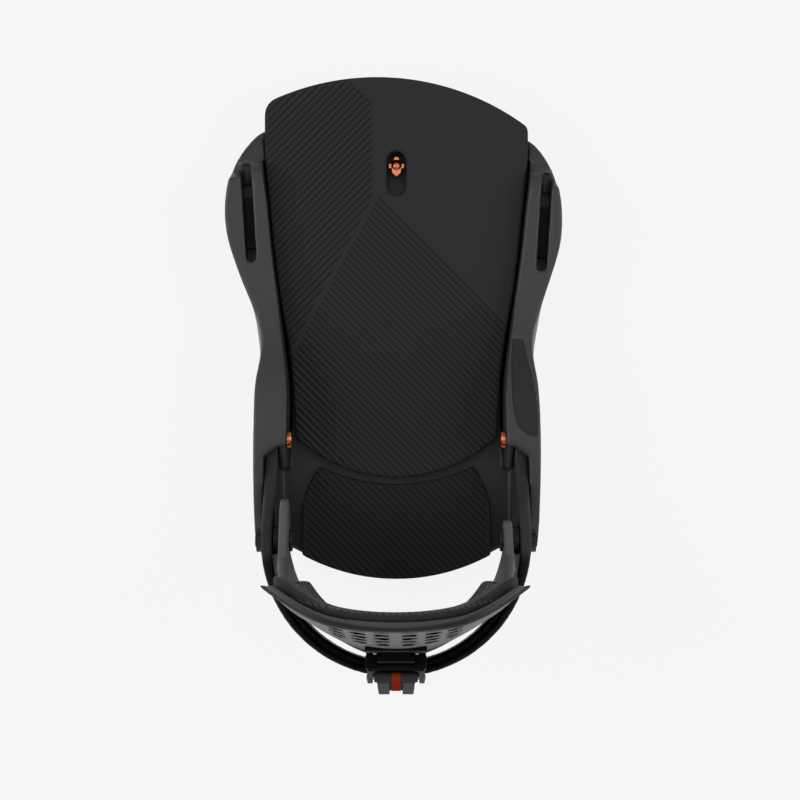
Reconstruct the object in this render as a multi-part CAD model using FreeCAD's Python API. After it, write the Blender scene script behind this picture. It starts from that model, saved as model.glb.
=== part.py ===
import FreeCAD, Part

import math
import os

from FreeCAD import Vector

# Splitboard touring binding, right foot, straps off. Millimetres.
# +X is the outer side of the foot, +Y points to the toe and +Z is up.
# The origin is the middle of the footprint, on the surface that the binding stands on.

LEFT, RIGHT = -1, 1
SIDES = {"left": LEFT, "right": RIGHT}

# ---------------------------------------------------------------- driving dimensions

# Height of the stack, from the ground up.
PAD_FEET = 1.5                 # rubber feet under the puck tracks
TRACK_LIP = 2.2                # lip that holds the pucks down
CHANNEL_HEIGHT = 8.8           # free height for the pucks
FLOOR = 5.0                    # floor of the base plate
TRAY = 1.8                     # stiff tray under the foam footbed
FOOTBED = 7.5                  # foam footbed
HEEL_PAD = 6.5                 # foam heel pad

LIP_BOTTOM = PAD_FEET
LIP_TOP = LIP_BOTTOM + TRACK_LIP
FLOOR_BOTTOM = LIP_TOP + CHANNEL_HEIGHT
FLOOR_TOP = FLOOR_BOTTOM + FLOOR
TRAY_TOP = FLOOR_TOP + TRAY
FOOTBED_TOP = TRAY_TOP + FOOTBED
HEEL_PAD_TOP = FLOOR_TOP + HEEL_PAD

# Clearances.
SLIDING_GAP = 0.3              # between parts that slide or lie beside each other
RUNNING_GAP = 0.05             # radial, pin in a bore that turns
SNUG_GAP = 0.1                 # radial, screw in a clearance hole

# Sole: half-width of the footbed at stations along Y, the same on both sides.
SOLE_HALF_WIDTHS = [
    (104.0, 64.0), (84.0, 61.9), (61.0, 59.6), (35.5, 56.2),
    (16.0, 52.7), (-3.0, 50.5), (-23.0, 49.3), (-31.0, 49.0),
]
TOE_ARC_CENTRE = (-9.4, 22.0)  # the toe edge is one arc, longest over the big toe
TOE_ARC_RADIUS = 122.0
TOE_CORNERS = {LEFT: 9.0, RIGHT: 4.5}
FOOTBED_REAR = -50.5
FOOTBED_REAR_RADIUS = 72.0
TOE_OVERHANG = 5.0             # footbed past the floor at the toe

# Heel pad.
HEEL_PAD_HALF = 46.0
HEEL_PAD_FRONT_HALF = 37.5
HEEL_PAD_FRONT = -54.2         # front edge, on the centre line
HEEL_PAD_REAR = -100.3         # rear edge, on the centre line
HEEL_PAD_SIDE_FRONT = -66.0
HEEL_PAD_SIDE_REAR = -88.5
HEEL_PAD_FRONT_CORNER = -45.5
FLOOR_HALF_AT_HEEL = 50.6
FLOOR_REAR_INSET = 3.0         # the heel pad reaches past the floor

# Side rails, given for the left one: stations are (y, distance from the centre line).
WING_REACH = {LEFT: 82.6, RIGHT: 79.9}
WING_SHIFT = {LEFT: 0.0, RIGHT: -4.5}
WING_REACH_NOMINAL = 82.0
WING_ROOT = 64.6
RAIL_OUTER_TOP = [
    (118.5, 64.6), (108.5, 73.6), (97.0, 79.2), (80.0, 82.0), (66.0, 80.9), (53.0, 76.8),
    (40.0, 71.0), (29.0, 65.4), (19.0, 62.6), (8.0, 63.6), (-3.0, 66.6), (-15.0, 68.4),
    (-60.0, 68.7), (-83.0, 68.2),
]
RAIL_OUTER_BASE = [
    (118.5, 64.6), (108.5, 73.6), (97.0, 79.2), (80.0, 82.0), (66.0, 80.9), (53.0, 77.2),
    (40.0, 73.0), (29.0, 69.6), (19.0, 68.0), (8.0, 67.2), (-3.0, 68.4), (-15.0, 69.2),
    (-60.0, 69.1), (-83.0, 68.7),
]
RAIL_INNER = [
    (118.5, 64.4), (104.0, 64.9), (84.0, 62.7), (61.0, 60.4), (35.5, 57.1),
    (16.0, 54.6), (-3.0, 52.3), (-23.0, 51.9), (-83.0, 51.9),
]
RAIL_TOP_PROFILE = [
    (120.0, 22.0), (113.0, 24.8), (107.0, 26.6), (103.4, 28.0), (101.2, 31.4), (97.5, 34.0), (90.0, 34.9),
    (60.0, 34.6), (36.0, 35.6), (16.0, 39.4), (-4.0, 45.6), (-22.0, 49.4), (-42.0, 50.0),
    (-62.0, 47.6), (-78.0, 41.5), (-84.5, 33.0),
]
RAIL_BASE_PROFILE = [(120.0, 15.5), (98.0, 13.5), (60.0, 12.0), (30.0, 8.0), (-84.5, 8.0)]
RAIL_EDGE_RADIUS = 1.6
WING_SHIFT_ENDS = 30.0         # behind this station the two rails are alike

# Toe strap slots in the wings.
OUTER_RIB_FRONT = 94.5         # the rib outside the slot starts further back than the inner one
SLOT_WIDTH = 4.9
SLOT_REAR = 53.4
SLOT_FRONT = 92.0
SLOT_RAMP_FRONT = 101.0
SLOT_MIDDLE = (71.0, 73.0)     # distance from the centre line, and station, of a point on it
SLOT_TOE_OUT = 3.6             # degrees
SLOT_SHOULDER = 21.0           # underside of the lips that hold the anchor down
SLOT_CAVITY_WIDTH = 9.0
ANCHOR_LENGTH = 24.8
ANCHOR_FRONT = 85.2
ANCHOR_TOP = 28.4
ANCHOR_FLANGE = 3.0
ANCHOR_TRAVEL = 6.0

# Trim inlay on the right rail.
INLAY_DEPTH = 1.2
INLAY_GAP = 0.25
INLAY_OUTLINE = [
    (55.6, 16.4), (60.4, 16.4), (62.0, 8.0), (64.6, -3.0), (66.0, -12.0), (66.6, -22.0),
    (66.4, -30.4), (61.6, -28.6), (57.6, -25.2), (55.8, -18.8), (54.9, -8.0), (55.0, 4.0),
]

# Heel hoop, a bent band whose arms are bolted in the rails.
HOOP_RADIUS = 61.7             # outside
HOOP_CENTRE = -75.4
HOOP_BORE_RADIUS = 56.5        # inside; its centre lies further back, so the band thins to the rear
HOOP_BORE_CENTRE = -78.2
HOOP_FRONT = -22.0
HOOP_TOP_EDGE = [
    (-20.0, 44.0), (-42.0, 44.4), (-52.0, 50.0), (-62.0, 66.0), (-72.0, 79.0),
    (-84.0, 84.5), (-105.0, 90.0), (-136.0, 94.8), (-142.0, 95.2),
]
HOOP_LOW_EDGE = [
    (-20.0, 21.0), (-70.0, 21.6), (-88.0, 27.0), (-104.0, 43.0), (-120.0, 54.0), (-142.0, 58.5),
]
LINER = 2.2
LINER_BAND = (61.0, 92.0)
LINER_HALF_ANGLE = 72.0
CAP_REAR = -35.0               # the rail's cap ends here at its inner edge
CAP_REAR_OUTER = -40.0
FLANGE_INNER = 62.9
INNER_WALL_REAR = -46.0

# Hoop bolts, through the rail and the hoop's arm.
HOOP_BOLT_STATION = -31.8
HOOP_BOLT_HEIGHT = 40.0
HOOP_BOLT_RADIUS = 2.5
HOOP_BOLT_HEAD_RADIUS = 4.3
HOOP_BOLT_HEAD = 2.0
HOOP_BOLT_HEX = 3.0
HOOP_NUT_RADIUS = 5.0
HOOP_NUT = 2.2

# Ankle strap bores in the hoop's arms.
STRAP_BORE_STATION = -64.0
STRAP_BORE_HEIGHT = 56.0
STRAP_BORE_RADIUS = 3.1

# Highback. Its spine is a straight line that leans forward.
PIVOT_Y = -77.5
PIVOT_Z = 72.0
SPINE_Y = -129.0               # outer face of the spine at height SPINE_Z
SPINE_Z = 90.0
LEAN = 12.5                    # degrees
SHELL_WALL = 3.6
SHELL_BOTTOM = 62.0
SHELL_REAR_BOTTOM = 84.0
SHELL_TOP = 232.0
SHELL_TOP_CORNER = 206.0
# Sections of the shell: height, half-width, depth, the angle that its arc opens to, and how flat its middle is.
SHELL_SECTIONS = [
    (60.0, 53.2, 55.6, 86.0, 0.40),
    (90.0, 53.2, 47.0, 84.0, 0.40),
    (118.0, 51.4, 33.0, 74.0, 0.45),
    (150.0, 49.6, 23.5, 60.0, 0.52),
    (185.0, 50.8, 18.5, 46.0, 0.56),
    (212.0, 52.4, 16.2, 37.0, 0.56),
    (236.0, 52.6, 14.4, 32.0, 0.56),
]
EAR_WALL = 4.1
EAR_TIP = {LEFT: -58.4, RIGHT: -68.2}
EAR_LOBE = 9.3
VENT_COLUMNS = [5.4, 14.8, 23.6]
VENT_ROWS = [153.0, 167.0, 181.0, 195.0, 209.0]
VENT_WIDTH = 5.2
VENT_HEIGHT = 9.0

# Foam pad inside the shell.
BACK_PAD = 4.4
BACK_PAD_GAP = 0.3
BACK_PAD_BOTTOM = 92.0
BACK_PAD_TOP = 228.5
BACK_PAD_HALF = 46.5
BACK_PAD_SIDE_FRONT = -95.0    # the pad's low sides end here
BACK_PAD_SIDE_TOP = 150.0

# Hinge of the highback.
HINGE_BOLT_RADIUS = 3.0
HINGE_HEAD_RADIUS = 5.2
HINGE_HEAD = 1.4
HINGE_BOLT_HEX = 4.0
HINGE_NUT_RADIUS = 5.4
HINGE_NUT = 2.4
WASHER_RADIUS = 6.5

# Forward lean adjuster, in the spine's own frame: u runs up the spine, n out of its face.
RACK_HEAD_HALF = 8.0
RACK_NECK_HALF = 6.2
RACK_NECK = 2.0
RACK_HEAD = 2.4
RACK_FROM, RACK_TO = 4.5, 37.0
RACK_PITCH = 2.4
RACK_TOOTH = 0.7
RACK_SCREWS = [7.5, 33.8]
RACK_SCREW_RADIUS = 1.5
RACK_SCREW_HEAD = 2.9
RACK_SCREW_DEPTH = 2.8
RACK_BOSS = 2.4
BLOCK_HALF = 13.4
BLOCK_TOP = 22.7
BLOCK_SEAT = 95.4
BLOCK_FACE = 7.0
BLOCK_FOOT = 9.6
BLOCK_FOOT_TOP = 8.4
BLOCK_TRAVEL = 8.0
BOSS_INNER, BOSS_OUTER = 10.2, 12.7
BOSS_RADIUS = 2.7
LEVER_PIN_U, LEVER_PIN_N = 15.0, 9.7
LEVER_PIN_RADIUS = 1.2
LEVER_HUB_RADIUS = 2.2
LEVER_THICKNESS = 2.4
LEVER_LENGTH_Z = 18.5          # drop of the prongs below the pin
LEVER_HALF = 9.6
PRONG_OUTER_TOP, PRONG_OUTER_END = 8.6, 7.9
PRONG_INNER_TOP, PRONG_INNER_END = 2.9, 2.8
PAWL_HALF = 2.0
PAWL_DROP = 17.0

# Puck tracks.
TRACK_OUTER = 45.0
TRACK_INNER = 38.5
LIP_INNER = 35.0
TRACK_REAR, TRACK_FRONT = -84.0, 100.0
TRACK_SCREW_X = 41.75
TRACK_SCREW_STATIONS = [-66.0, 8.0, 84.0]
TRACK_SCREW_RADIUS = 2.0
TRACK_SCREW_HEAD_RADIUS = 2.9
TRACK_SCREW_HEAD = 2.6
TRACK_SCREW_REACH = 4.2
FOOT_STATIONS = [(-82.0, -72.0), (-58.0, 0.0), (16.0, 76.0), (91.0, 99.0)]

# Touring pivot at the toe.
PIVOT_BORE_Y = 111.0
PIVOT_BORE_Z = 6.6
PIVOT_BORE_RADIUS = 3.2
BUSHING_RADIUS = 4.4
LUG_RADIUS = 6.4
LUG_INNER, LUG_OUTER = 39.0, 46.0

# Toe lock.
WINDOW_FRONT, WINDOW_REAR = 107.8, 86.2
WINDOW_HALF = 4.7
LOCK_TRAVEL = 8.0
LOCK_HALF = 9.7
LOCK_PLATE = 3.6
LOCK_REAR = 76.0
LOCK_NOSE_HALF = 6.0
LOCK_NOSE_FRONT = 118.0
LOCK_SHOULDER = 106.0
GUIDE_WALL = 3.4
GUIDE_REAR = 52.0
GUIDE_FRONT = 110.0
GUIDE_EAR = 6.6
GUIDE_EAR_THICKNESS = 2.4
GUIDE_EARS = [(57.0, 65.0), (97.0, 105.0)]
GUIDE_SCREW_RADIUS = 1.4
GUIDE_SCREW_HEAD = 2.6
COVER = 1.6
THUMB_Y = 101.2
THUMB_TOP = 22.8
SPRING_OFFSET = 5.0
SPRING_RADIUS = 2.0
SPRING_WIRE = 0.55
SPRING_TURNS = 6

TALL = 400.0                   # longer than anything that it cuts


# ---------------------------------------------------------------- shape helpers

def point(x, y, z=0.0):
    return Vector(x, y, z)


def spline(points):
    """A smooth edge through the points."""
    curve = Part.BSplineCurve()
    curve.interpolate(points)
    return curve.toShape()


def line(a, b):
    return Part.makeLine(a, b)


def arc(a, middle, b):
    return Part.Arc(a, middle, b).toShape()


def prism(edges, direction):
    """The solid that a closed outline sweeps along a direction."""
    return Part.Face(Part.Wire(Part.__sortEdges__(edges))).extrude(direction)


def polygon_prism(points, direction):
    return Part.Face(Part.makePolygon(points + [points[0]])).extrude(direction)


def box(x0, x1, y0, y1, z0, z1):
    return Part.makeBox(x1 - x0, y1 - y0, z1 - z0, Vector(x0, y0, z0))


def side_box(side, near, far, y0, y1, z0, z1):
    """A box on one side of the centre line, between two distances from it."""
    x0, x1 = sorted((side * near, side * far))
    return box(x0, x1, y0, y1, z0, z1)


def cylinder_x(radius, x0, x1, y, z):
    low, high = sorted((x0, x1))
    return Part.makeCylinder(radius, high - low, Vector(low, y, z), Vector(1, 0, 0))


def cylinder_z(radius, x, y, z0, z1):
    return Part.makeCylinder(radius, z1 - z0, Vector(x, y, z0), Vector(0, 0, 1))


def hex_x(across, x0, x1, y, z):
    """A hexagonal prism along X, for a key socket."""
    radius = across / math.sqrt(3)
    corners = [
        Vector(x0, y + radius * math.cos(math.radians(60 * i)), z + radius * math.sin(math.radians(60 * i)))
        for i in range(6)
    ]
    return polygon_prism(corners, Vector(x1 - x0, 0, 0))


def side_view_prism(points, x0, x1):
    """A closed side-view outline of straight runs, swept across X."""
    low, high = sorted((x0, x1))
    return polygon_prism([Vector(low, y, z) for y, z in points], Vector(high - low, 0, 0))


def band_between(top, low, x0, x1):
    """The solid between two smooth side-view lines, swept across X."""
    left, right = sorted((x0, x1))
    upper = [Vector(left, y, z) for y, z in top]
    lower = [Vector(left, y, z) for y, z in low]
    edges = [spline(upper), line(upper[-1], lower[-1]), spline(lower), line(lower[0], upper[0])]
    return prism(edges, Vector(right - left, 0, 0))


def slot_prism(x, y0, y1, width, z0, z1):
    """An upright slot with round ends, along Y."""
    radius = width / 2
    body = box(x - radius, x + radius, y0 + radius, y1 - radius, z0, z1)
    ends = [cylinder_z(radius, x, y, z0, z1) for y in (y0 + radius, y1 - radius)]
    return body.fuse(ends)


def rounded(shape, radius, chosen):
    """Rounds the edges that the test picks, by the largest radius up to this one that the walls allow."""
    edges = [e for e in shape.Edges if chosen(e)]
    for share in (1.0, 0.75, 0.5, 0.3):
        try:
            result = shape.makeFillet(radius * share, edges)
        except Part.OCCError:
            continue
        if result.isValid() and result.Volume > 0:
            return result
    return shape


def all_inside(edge, test):
    """True when both ends and the middle of an edge pass the test."""
    middle = edge.valueAt((edge.FirstParameter + edge.LastParameter) / 2)
    return all(test(p) for p in [v.Point for v in edge.Vertexes] + [middle])


def is_upright(edge):
    ends = [v.Point for v in edge.Vertexes]
    return len(ends) == 2 and abs(ends[0].z - ends[1].z) > 1 and (ends[0] - ends[1]).cross(Vector(0, 0, 1)).Length < 0.01


def coil(radius, wire, pitch, turns, start, axis):
    """A helical spring."""
    helix = Part.makeHelix(pitch, pitch * turns, radius)
    profile = Part.Wire(Part.makeCircle(wire, Vector(radius, 0, 0), Vector(0, 1, 0)))
    shape = Part.Wire(helix.Edges).makePipeShell([profile], True, True)
    turn = FreeCAD.Rotation(Vector(0, 0, 1), axis)
    shape.Placement = FreeCAD.Placement(start, turn)
    return shape


def save(name, shape):
    """Writes a node. A node of several pieces is a compound of separate solids."""
    solids = shape.removeSplitter().Solids if shape.ShapeType != "Compound" else shape.Solids
    kept = solids[0] if len(solids) == 1 else Part.makeCompound(solids)
    kept.exportStep(os.path.join("parts", name + ".step"))
    print(f"{name}: {len(solids)} solid(s), {sum(s.Volume for s in solids) / 1000:.2f} cm3, valid {kept.isValid()}")


# ---------------------------------------------------------------- sole

def toe_point(x, inset):
    """A point of the toe arc, moved inwards."""
    cx, cy = TOE_ARC_CENTRE
    return point(x, cy + math.sqrt((TOE_ARC_RADIUS - inset) ** 2 - (x - cx) ** 2))


def sole_prism(inset, toe_inset, z0, height):
    """The footbed's outline, moved inwards, as a slab."""
    half = {y: w - inset for y, w in SOLE_HALF_WIDTHS}
    front, rear = SOLE_HALF_WIDTHS[0][0], SOLE_HALF_WIDTHS[-1][0]
    edges = []
    for side in (LEFT, RIGHT):
        corner = toe_point(side * half[front], toe_inset)
        edges.append(line(corner, point(side * half[front], front)))
        edges.append(spline([point(side * w, y) for y, w in half.items()]))
    edges.append(arc(toe_point(-half[front], toe_inset), toe_point(TOE_ARC_CENTRE[0], toe_inset),
                     toe_point(half[front], toe_inset)))
    edges.append(arc(point(-half[rear], rear), point(0, FOOTBED_REAR + inset), point(half[rear], rear)))
    slab = prism(edges, Vector(0, 0, height))
    slab.translate(Vector(0, 0, z0))
    for side, radius in TOE_CORNERS.items():
        slab = rounded(slab, radius - min(toe_inset, radius / 2),
                       lambda e: is_upright(e) and e.CenterOfMass.y > front + 5 and e.CenterOfMass.x * side > 0)
    rear_corner = 4.0
    return rounded(slab, rear_corner, lambda e: is_upright(e) and e.CenterOfMass.y < rear + 3)


def window_cut(margin, z0, z1):
    """The opening through which the toe lock is worked."""
    return slot_prism(0, WINDOW_REAR - margin, WINDOW_FRONT + margin, 2 * (WINDOW_HALF + margin), z0, z1)


def footbed():
    slab = sole_prism(0.0, 0.0, TRAY_TOP, FOOTBED)
    slab = slab.cut(window_cut(0, TRAY_TOP - 1, FOOTBED_TOP + 1))
    return rounded(slab, 1.2, lambda e: all_inside(e, lambda p: p.z > FOOTBED_TOP - 0.01))


def footbed_tray():
    slab = sole_prism(0.8, 1.2, FLOOR_TOP, TRAY)
    slab = slab.cut(window_cut(0.4, FLOOR_TOP - 1, TRAY_TOP + 1))
    for x, y in TRAY_SCREWS:
        slab = slab.cut(cylinder_z(TRAY_SCREW_RADIUS + SNUG_GAP, x, y, FLOOR_TOP - 1, TRAY_TOP + 1))
        slab = slab.cut(cylinder_z(TRAY_SCREW_HEAD + SNUG_GAP, x, y, TRAY_TOP - TRAY_SCREW_SINK, TRAY_TOP + 1))
    return slab


TRAY_SCREWS = [(-30.0, 74.0), (30.0, 74.0), (-26.0, -20.0), (26.0, -20.0)]
TRAY_SCREW_RADIUS = 1.6
TRAY_SCREW_HEAD = 3.2
TRAY_SCREW_SINK = 0.9
TRAY_SCREW_LENGTH = 5.0


def tray_screws():
    screws = []
    for x, y in TRAY_SCREWS:
        head = cylinder_z(TRAY_SCREW_HEAD, x, y, TRAY_TOP - TRAY_SCREW_SINK, TRAY_TOP - 0.1)
        screws.append(head.fuse(cylinder_z(TRAY_SCREW_RADIUS, x, y, TRAY_TOP - TRAY_SCREW_LENGTH, TRAY_TOP - 0.2)))
    return Part.makeCompound(screws)


def heel_outline(inset, z):
    """Edges of the heel pad's outline, moved inwards."""
    half, front_half = HEEL_PAD_HALF - inset, HEEL_PAD_FRONT_HALF - inset
    corner_y = HEEL_PAD_FRONT_CORNER - inset
    edges = [
        arc(point(-front_half, corner_y, z), point(0, HEEL_PAD_FRONT - inset, z), point(front_half, corner_y, z)),
        arc(point(-half, HEEL_PAD_SIDE_REAR + inset, z), point(0, HEEL_PAD_REAR + inset, z),
            point(half, HEEL_PAD_SIDE_REAR + inset, z)),
    ]
    for side in (LEFT, RIGHT):
        edges.append(arc(point(side * front_half, corner_y, z),
                         point(side * (half - 2.4), (corner_y + HEEL_PAD_SIDE_FRONT) / 2 - 1, z),
                         point(side * half, HEEL_PAD_SIDE_FRONT, z)))
        edges.append(line(point(side * half, HEEL_PAD_SIDE_FRONT, z), point(side * half, HEEL_PAD_SIDE_REAR + inset, z)))
    return edges


def heel_pad():
    slab = prism(heel_outline(0, FLOOR_TOP), Vector(0, 0, HEEL_PAD))
    return rounded(slab, 1.2, lambda e: all_inside(e, lambda p: p.z > HEEL_PAD_TOP - 0.01))


# ---------------------------------------------------------------- base plate

def wing_shift(side, y):
    """How far a station of the wing moves along Y on this side."""
    share = min(1.0, max(0.0, (y - WING_SHIFT_ENDS) / 40.0))
    return WING_SHIFT[side] * share


def rail_points(side, stations, z):
    """Stations of a rail as points on its own side, with that side's wing."""
    stretch = (WING_REACH[side] - WING_ROOT) / (WING_REACH_NOMINAL - WING_ROOT)
    points = []
    for y, reach in stations:
        if reach > WING_ROOT and y > WING_SHIFT_ENDS:
            reach = WING_ROOT + (reach - WING_ROOT) * stretch
        if reach > WAIST_LEAST:
            reach += WAIST_EXTRA[side] * max(0.0, 1.0 - abs(y - WAIST_STATION) / WAIST_SPAN)
            reach -= REAR_TRIM[side] * min(1.0, max(0.0, -y / REAR_TRIM_RAMP))
        points.append(point(side * reach, y + wing_shift(side, y), z))
    return points


WAIST_LEAST = 62.0             # only the outer line is moved
WAIST_STATION, WAIST_SPAN = 26.0, 34.0
WAIST_EXTRA = {LEFT: 0.8, RIGHT: 1.7}
REAR_TRIM = {LEFT: 1.0, RIGHT: 0.5}
REAR_TRIM_RAMP = 15.0


def rail_wire(side, outer, z):
    out, inn = rail_points(side, outer, z), rail_points(side, RAIL_INNER, z)
    return Part.Wire([spline(out), line(out[-1], inn[-1]), spline(list(reversed(inn))), line(inn[0], out[0])])


def shifted_profile(side, profile):
    return [(y + wing_shift(side, y), z) for y, z in profile]


def rail_body(side):
    """One side rail with its toe wing, before its pockets."""
    body = Part.makeLoft([rail_wire(side, RAIL_OUTER_BASE, 6.0), rail_wire(side, RAIL_OUTER_TOP, 54.0)], True, True)
    body = body.common(band_between(shifted_profile(side, RAIL_TOP_PROFILE),
                                    shifted_profile(side, RAIL_BASE_PROFILE), side * 40.0, side * 100.0))
    return rounded(body, RAIL_EDGE_RADIUS, lambda e: e.Length > 120 and e.BoundBox.ZMax > 40)


def slot_frame(side, shape):
    """Puts a shape, modelled about the origin along Y, in the wing's strap slot."""
    shape.rotate(Vector(0, 0, 0), Vector(0, 0, 1), -side * SLOT_TOE_OUT)
    x, y = SLOT_MIDDLE
    shape.translate(Vector(side * x, y + WING_SHIFT[side], 0))
    return shape


def strap_slot(side):
    """The cut for a toe strap's slot, its ramp and the cavity under its lips."""
    rear, front = SLOT_REAR - SLOT_MIDDLE[1], SLOT_FRONT - SLOT_MIDDLE[1]
    ramp = SLOT_RAMP_FRONT - SLOT_MIDDLE[1]
    half = SLOT_WIDTH / 2
    opening = slot_prism(0, rear, front, SLOT_WIDTH, CAVITY_FLOOR, TALL)
    ramp_cut = side_view_prism([(front - half, SLOT_SHOULDER), (ramp, SLOT_RAMP_TOP), (ramp, TALL),
                                (front - half, TALL)], -half, half)
    cavity = slot_prism(0, rear - SLOT_LIP, front + SLOT_LIP, SLOT_CAVITY_WIDTH, CAVITY_FLOOR, SLOT_SHOULDER)
    rib = OUTER_RIB_FRONT - SLOT_MIDDLE[1]
    rib_end = side_view_prism([(rib, TALL), (rib + 0.4, RIB_STEP_TOP), (rib + 3.2, RIB_STEP_FOOT), (TALL, 22.0), (TALL, TALL)],
                              side * (half - 0.2), side * 40.0)
    return slot_frame(side, opening.fuse([ramp_cut, cavity, rib_end]))


def strap_anchor(side):
    """A sliding anchor with a threaded eye for the toe strap."""
    front = ANCHOR_FRONT - SLOT_MIDDLE[1]
    rear = front - ANCHOR_LENGTH
    stem_width = SLOT_WIDTH - 2 * SLIDING_GAP
    flange_width = SLOT_CAVITY_WIDTH - 2 * SLIDING_GAP
    flange_top = SLOT_SHOULDER - SLIDING_GAP
    flange = slot_prism(0, rear - ANCHOR_TOE, front + ANCHOR_TOE, flange_width, flange_top - ANCHOR_FLANGE, flange_top)
    stem = slot_prism(0, rear, front, stem_width, flange_top - 1, ANCHOR_TOP)
    stem = rounded(stem, 0.6, lambda e: all_inside(e, lambda p: p.z > ANCHOR_TOP - 0.01))
    anchor = flange.fuse(stem).removeSplitter()
    middle = (front + rear) / 2
    return slot_frame(side, anchor.cut(cylinder_z(ANCHOR_EYE, 0, middle, flange_top, ANCHOR_TOP + 1)))


CAVITY_FLOOR = SLOT_SHOULDER - 2 * SLIDING_GAP - ANCHOR_FLANGE
SLOT_LIP = (SLOT_CAVITY_WIDTH - SLOT_WIDTH) / 2
RIB_STEP_TOP, RIB_STEP_FOOT = 33.4, 28.2
SLOT_RAMP_TOP = 29.0
ANCHOR_EYE = 1.25
ANCHOR_TOE = 0.8               # the flange is this much longer than the stem at each end


def floor_plate():
    """The floor under the tray and the heel pad."""
    front = sole_prism(1.6, TOE_OVERHANG, FLOOR_BOTTOM, FLOOR)
    front = front.common(box(-TALL, TALL, FOOTBED_REAR + 20, TALL, 0, TALL))
    corners = [(-RAIL_ROOT, FOOTBED_REAR + 32)] + FLOOR_REAR_CORNER
    corners += [(-x, y) for x, y in reversed(corners)]
    heel = polygon_prism([point(x, y, FLOOR_BOTTOM) for x, y in corners], Vector(0, 0, FLOOR))
    rear = prism(heel_outline(FLOOR_REAR_INSET, FLOOR_BOTTOM), Vector(0, 0, FLOOR))
    stations = [(WING_FLOOR_FRONT, WING_FLOOR_HALF)] + RAIL_INNER[1:8]
    middle = [Vector(side * (reach + 1.0), y, FLOOR_BOTTOM) for side in (LEFT, RIGHT)
              for y, reach in (stations if side == LEFT else reversed(stations))]
    return front.fuse([heel, rear, polygon_prism(middle, Vector(0, 0, FLOOR))]).removeSplitter()


RAIL_ROOT = 53.5
FLOOR_REAR_CORNER = [(-RAIL_ROOT, -84.6), (-50.8, -85.6), (-45.4, -88.4)]
WING_FLOOR_FRONT, WING_FLOOR_HALF = 111.5, 63.8


def inlay_pocket(body, outline_gap):
    """The skin of the right rail inside the inlay's outline."""
    cx = sum(x for x, _ in INLAY_OUTLINE) / len(INLAY_OUTLINE)
    cy = sum(y for _, y in INLAY_OUTLINE) / len(INLAY_OUTLINE)
    points = []
    for x, y in INLAY_OUTLINE:
        reach = math.hypot(x - cx, y - cy)
        share = (reach - outline_gap) / reach
        points.append(Vector(cx + (x - cx) * share, cy + (y - cy) * share, 20.0))
    column = polygon_prism(points, Vector(0, 0, 60.0))
    lowered = body.copy()
    lowered.translate(Vector(0, 0, -INLAY_DEPTH))
    return column.cut(lowered)


def hoop_pocket(side):
    """The space for the hoop's arm, and the cut that opens the rail's rear end."""
    inner = HOOP_BORE_RADIUS - SLIDING_GAP
    outer = HOOP_RADIUS + SLIDING_GAP
    floor = HOOP_LOW_EDGE[0][1] - 2 * SLIDING_GAP
    roof = HOOP_TOP_EDGE[0][1] + 2 * SLIDING_GAP
    front = HOOP_FRONT + 2 * SLIDING_GAP
    arm = side_box(side, inner, outer, -TALL, front, floor, roof)
    behind_cap = side_view_prism([(CAP_REAR_OUTER, TALL), (CAP_REAR_OUTER, floor), (-TALL, floor), (-TALL, TALL)],
                                 side * inner, side * FLANGE_INNER)
    slope = side_view_prism([(CAP_REAR, TALL), (CAP_REAR, roof), (INNER_WALL_REAR, roof - 12.0),
                             (INNER_WALL_REAR, FLOOR_TOP), (-TALL, FLOOR_TOP), (-TALL, TALL)],
                            side * (RAIL_INNER[-1][1] - 5.0), side * inner)
    corner = polygon_prism([Vector(side * inner, CAP_REAR, roof), Vector(side * FLANGE_INNER, CAP_REAR_OUTER, roof),
                            Vector(side * inner, CAP_REAR_OUTER, roof)], Vector(0, 0, TALL))
    return arm.fuse([behind_cap, slope, corner])


def base_plate():
    plate = floor_plate()
    for side in (LEFT, RIGHT):
        rail = rail_body(side)
        if side == RIGHT:
            rail = rail.cut(inlay_pocket(rail, 0))
        inner = side * (RAIL_INNER[-1][1] - 4.0)
        nut_floor = side * HOOP_NUT_SEAT
        cuts = [
            strap_slot(side),
            hoop_pocket(side),
            cylinder_x(HOOP_BOLT_RADIUS + SNUG_GAP, inner, side * TALL, HOOP_BOLT_STATION, HOOP_BOLT_HEIGHT),
            cylinder_x(HOOP_NUT_RADIUS + SLIDING_GAP, nut_floor, side * TALL, HOOP_BOLT_STATION, HOOP_BOLT_HEIGHT),
        ]
        plate = plate.fuse(rail.cut(cuts))
    sole = sole_prism(-SLIDING_GAP, -SLIDING_GAP, FLOOR_TOP, FOOTBED_TOP - FLOOR_TOP + 60.0)
    plate = plate.cut(sole)
    plate = plate.cut(window_cut(0.5, FLOOR_BOTTOM - 1, FLOOR_TOP + 1))
    for side in (LEFT, RIGHT):
        for y in TRACK_SCREW_STATIONS:
            plate = plate.cut(cylinder_z(TRACK_SCREW_RADIUS + SNUG_GAP, side * TRACK_SCREW_X, y, FLOOR_BOTTOM - 1,
                                         FLOOR_BOTTOM + TRACK_SCREW_REACH + SNUG_GAP))
    for x, y in TRAY_SCREWS:
        plate = plate.cut(cylinder_z(TRAY_SCREW_RADIUS + SNUG_GAP, x, y,
                                     TRAY_TOP - TRAY_SCREW_LENGTH - SNUG_GAP, FLOOR_TOP + 1))
    for x, y in guide_screw_places():
        plate = plate.cut(cylinder_z(GUIDE_SCREW_RADIUS + SNUG_GAP, x, y, FLOOR_BOTTOM - 1,
                                     FLOOR_BOTTOM + GUIDE_SCREW_REACH + SNUG_GAP))
    return plate.removeSplitter()


HOOP_NUT_SEAT = 62.8
GUIDE_SCREW_REACH = 3.6


def rail_inlay():
    rail = rail_body(RIGHT)
    return inlay_pocket(rail, INLAY_GAP).common(rail)


# ---------------------------------------------------------------- puck tracks

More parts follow.
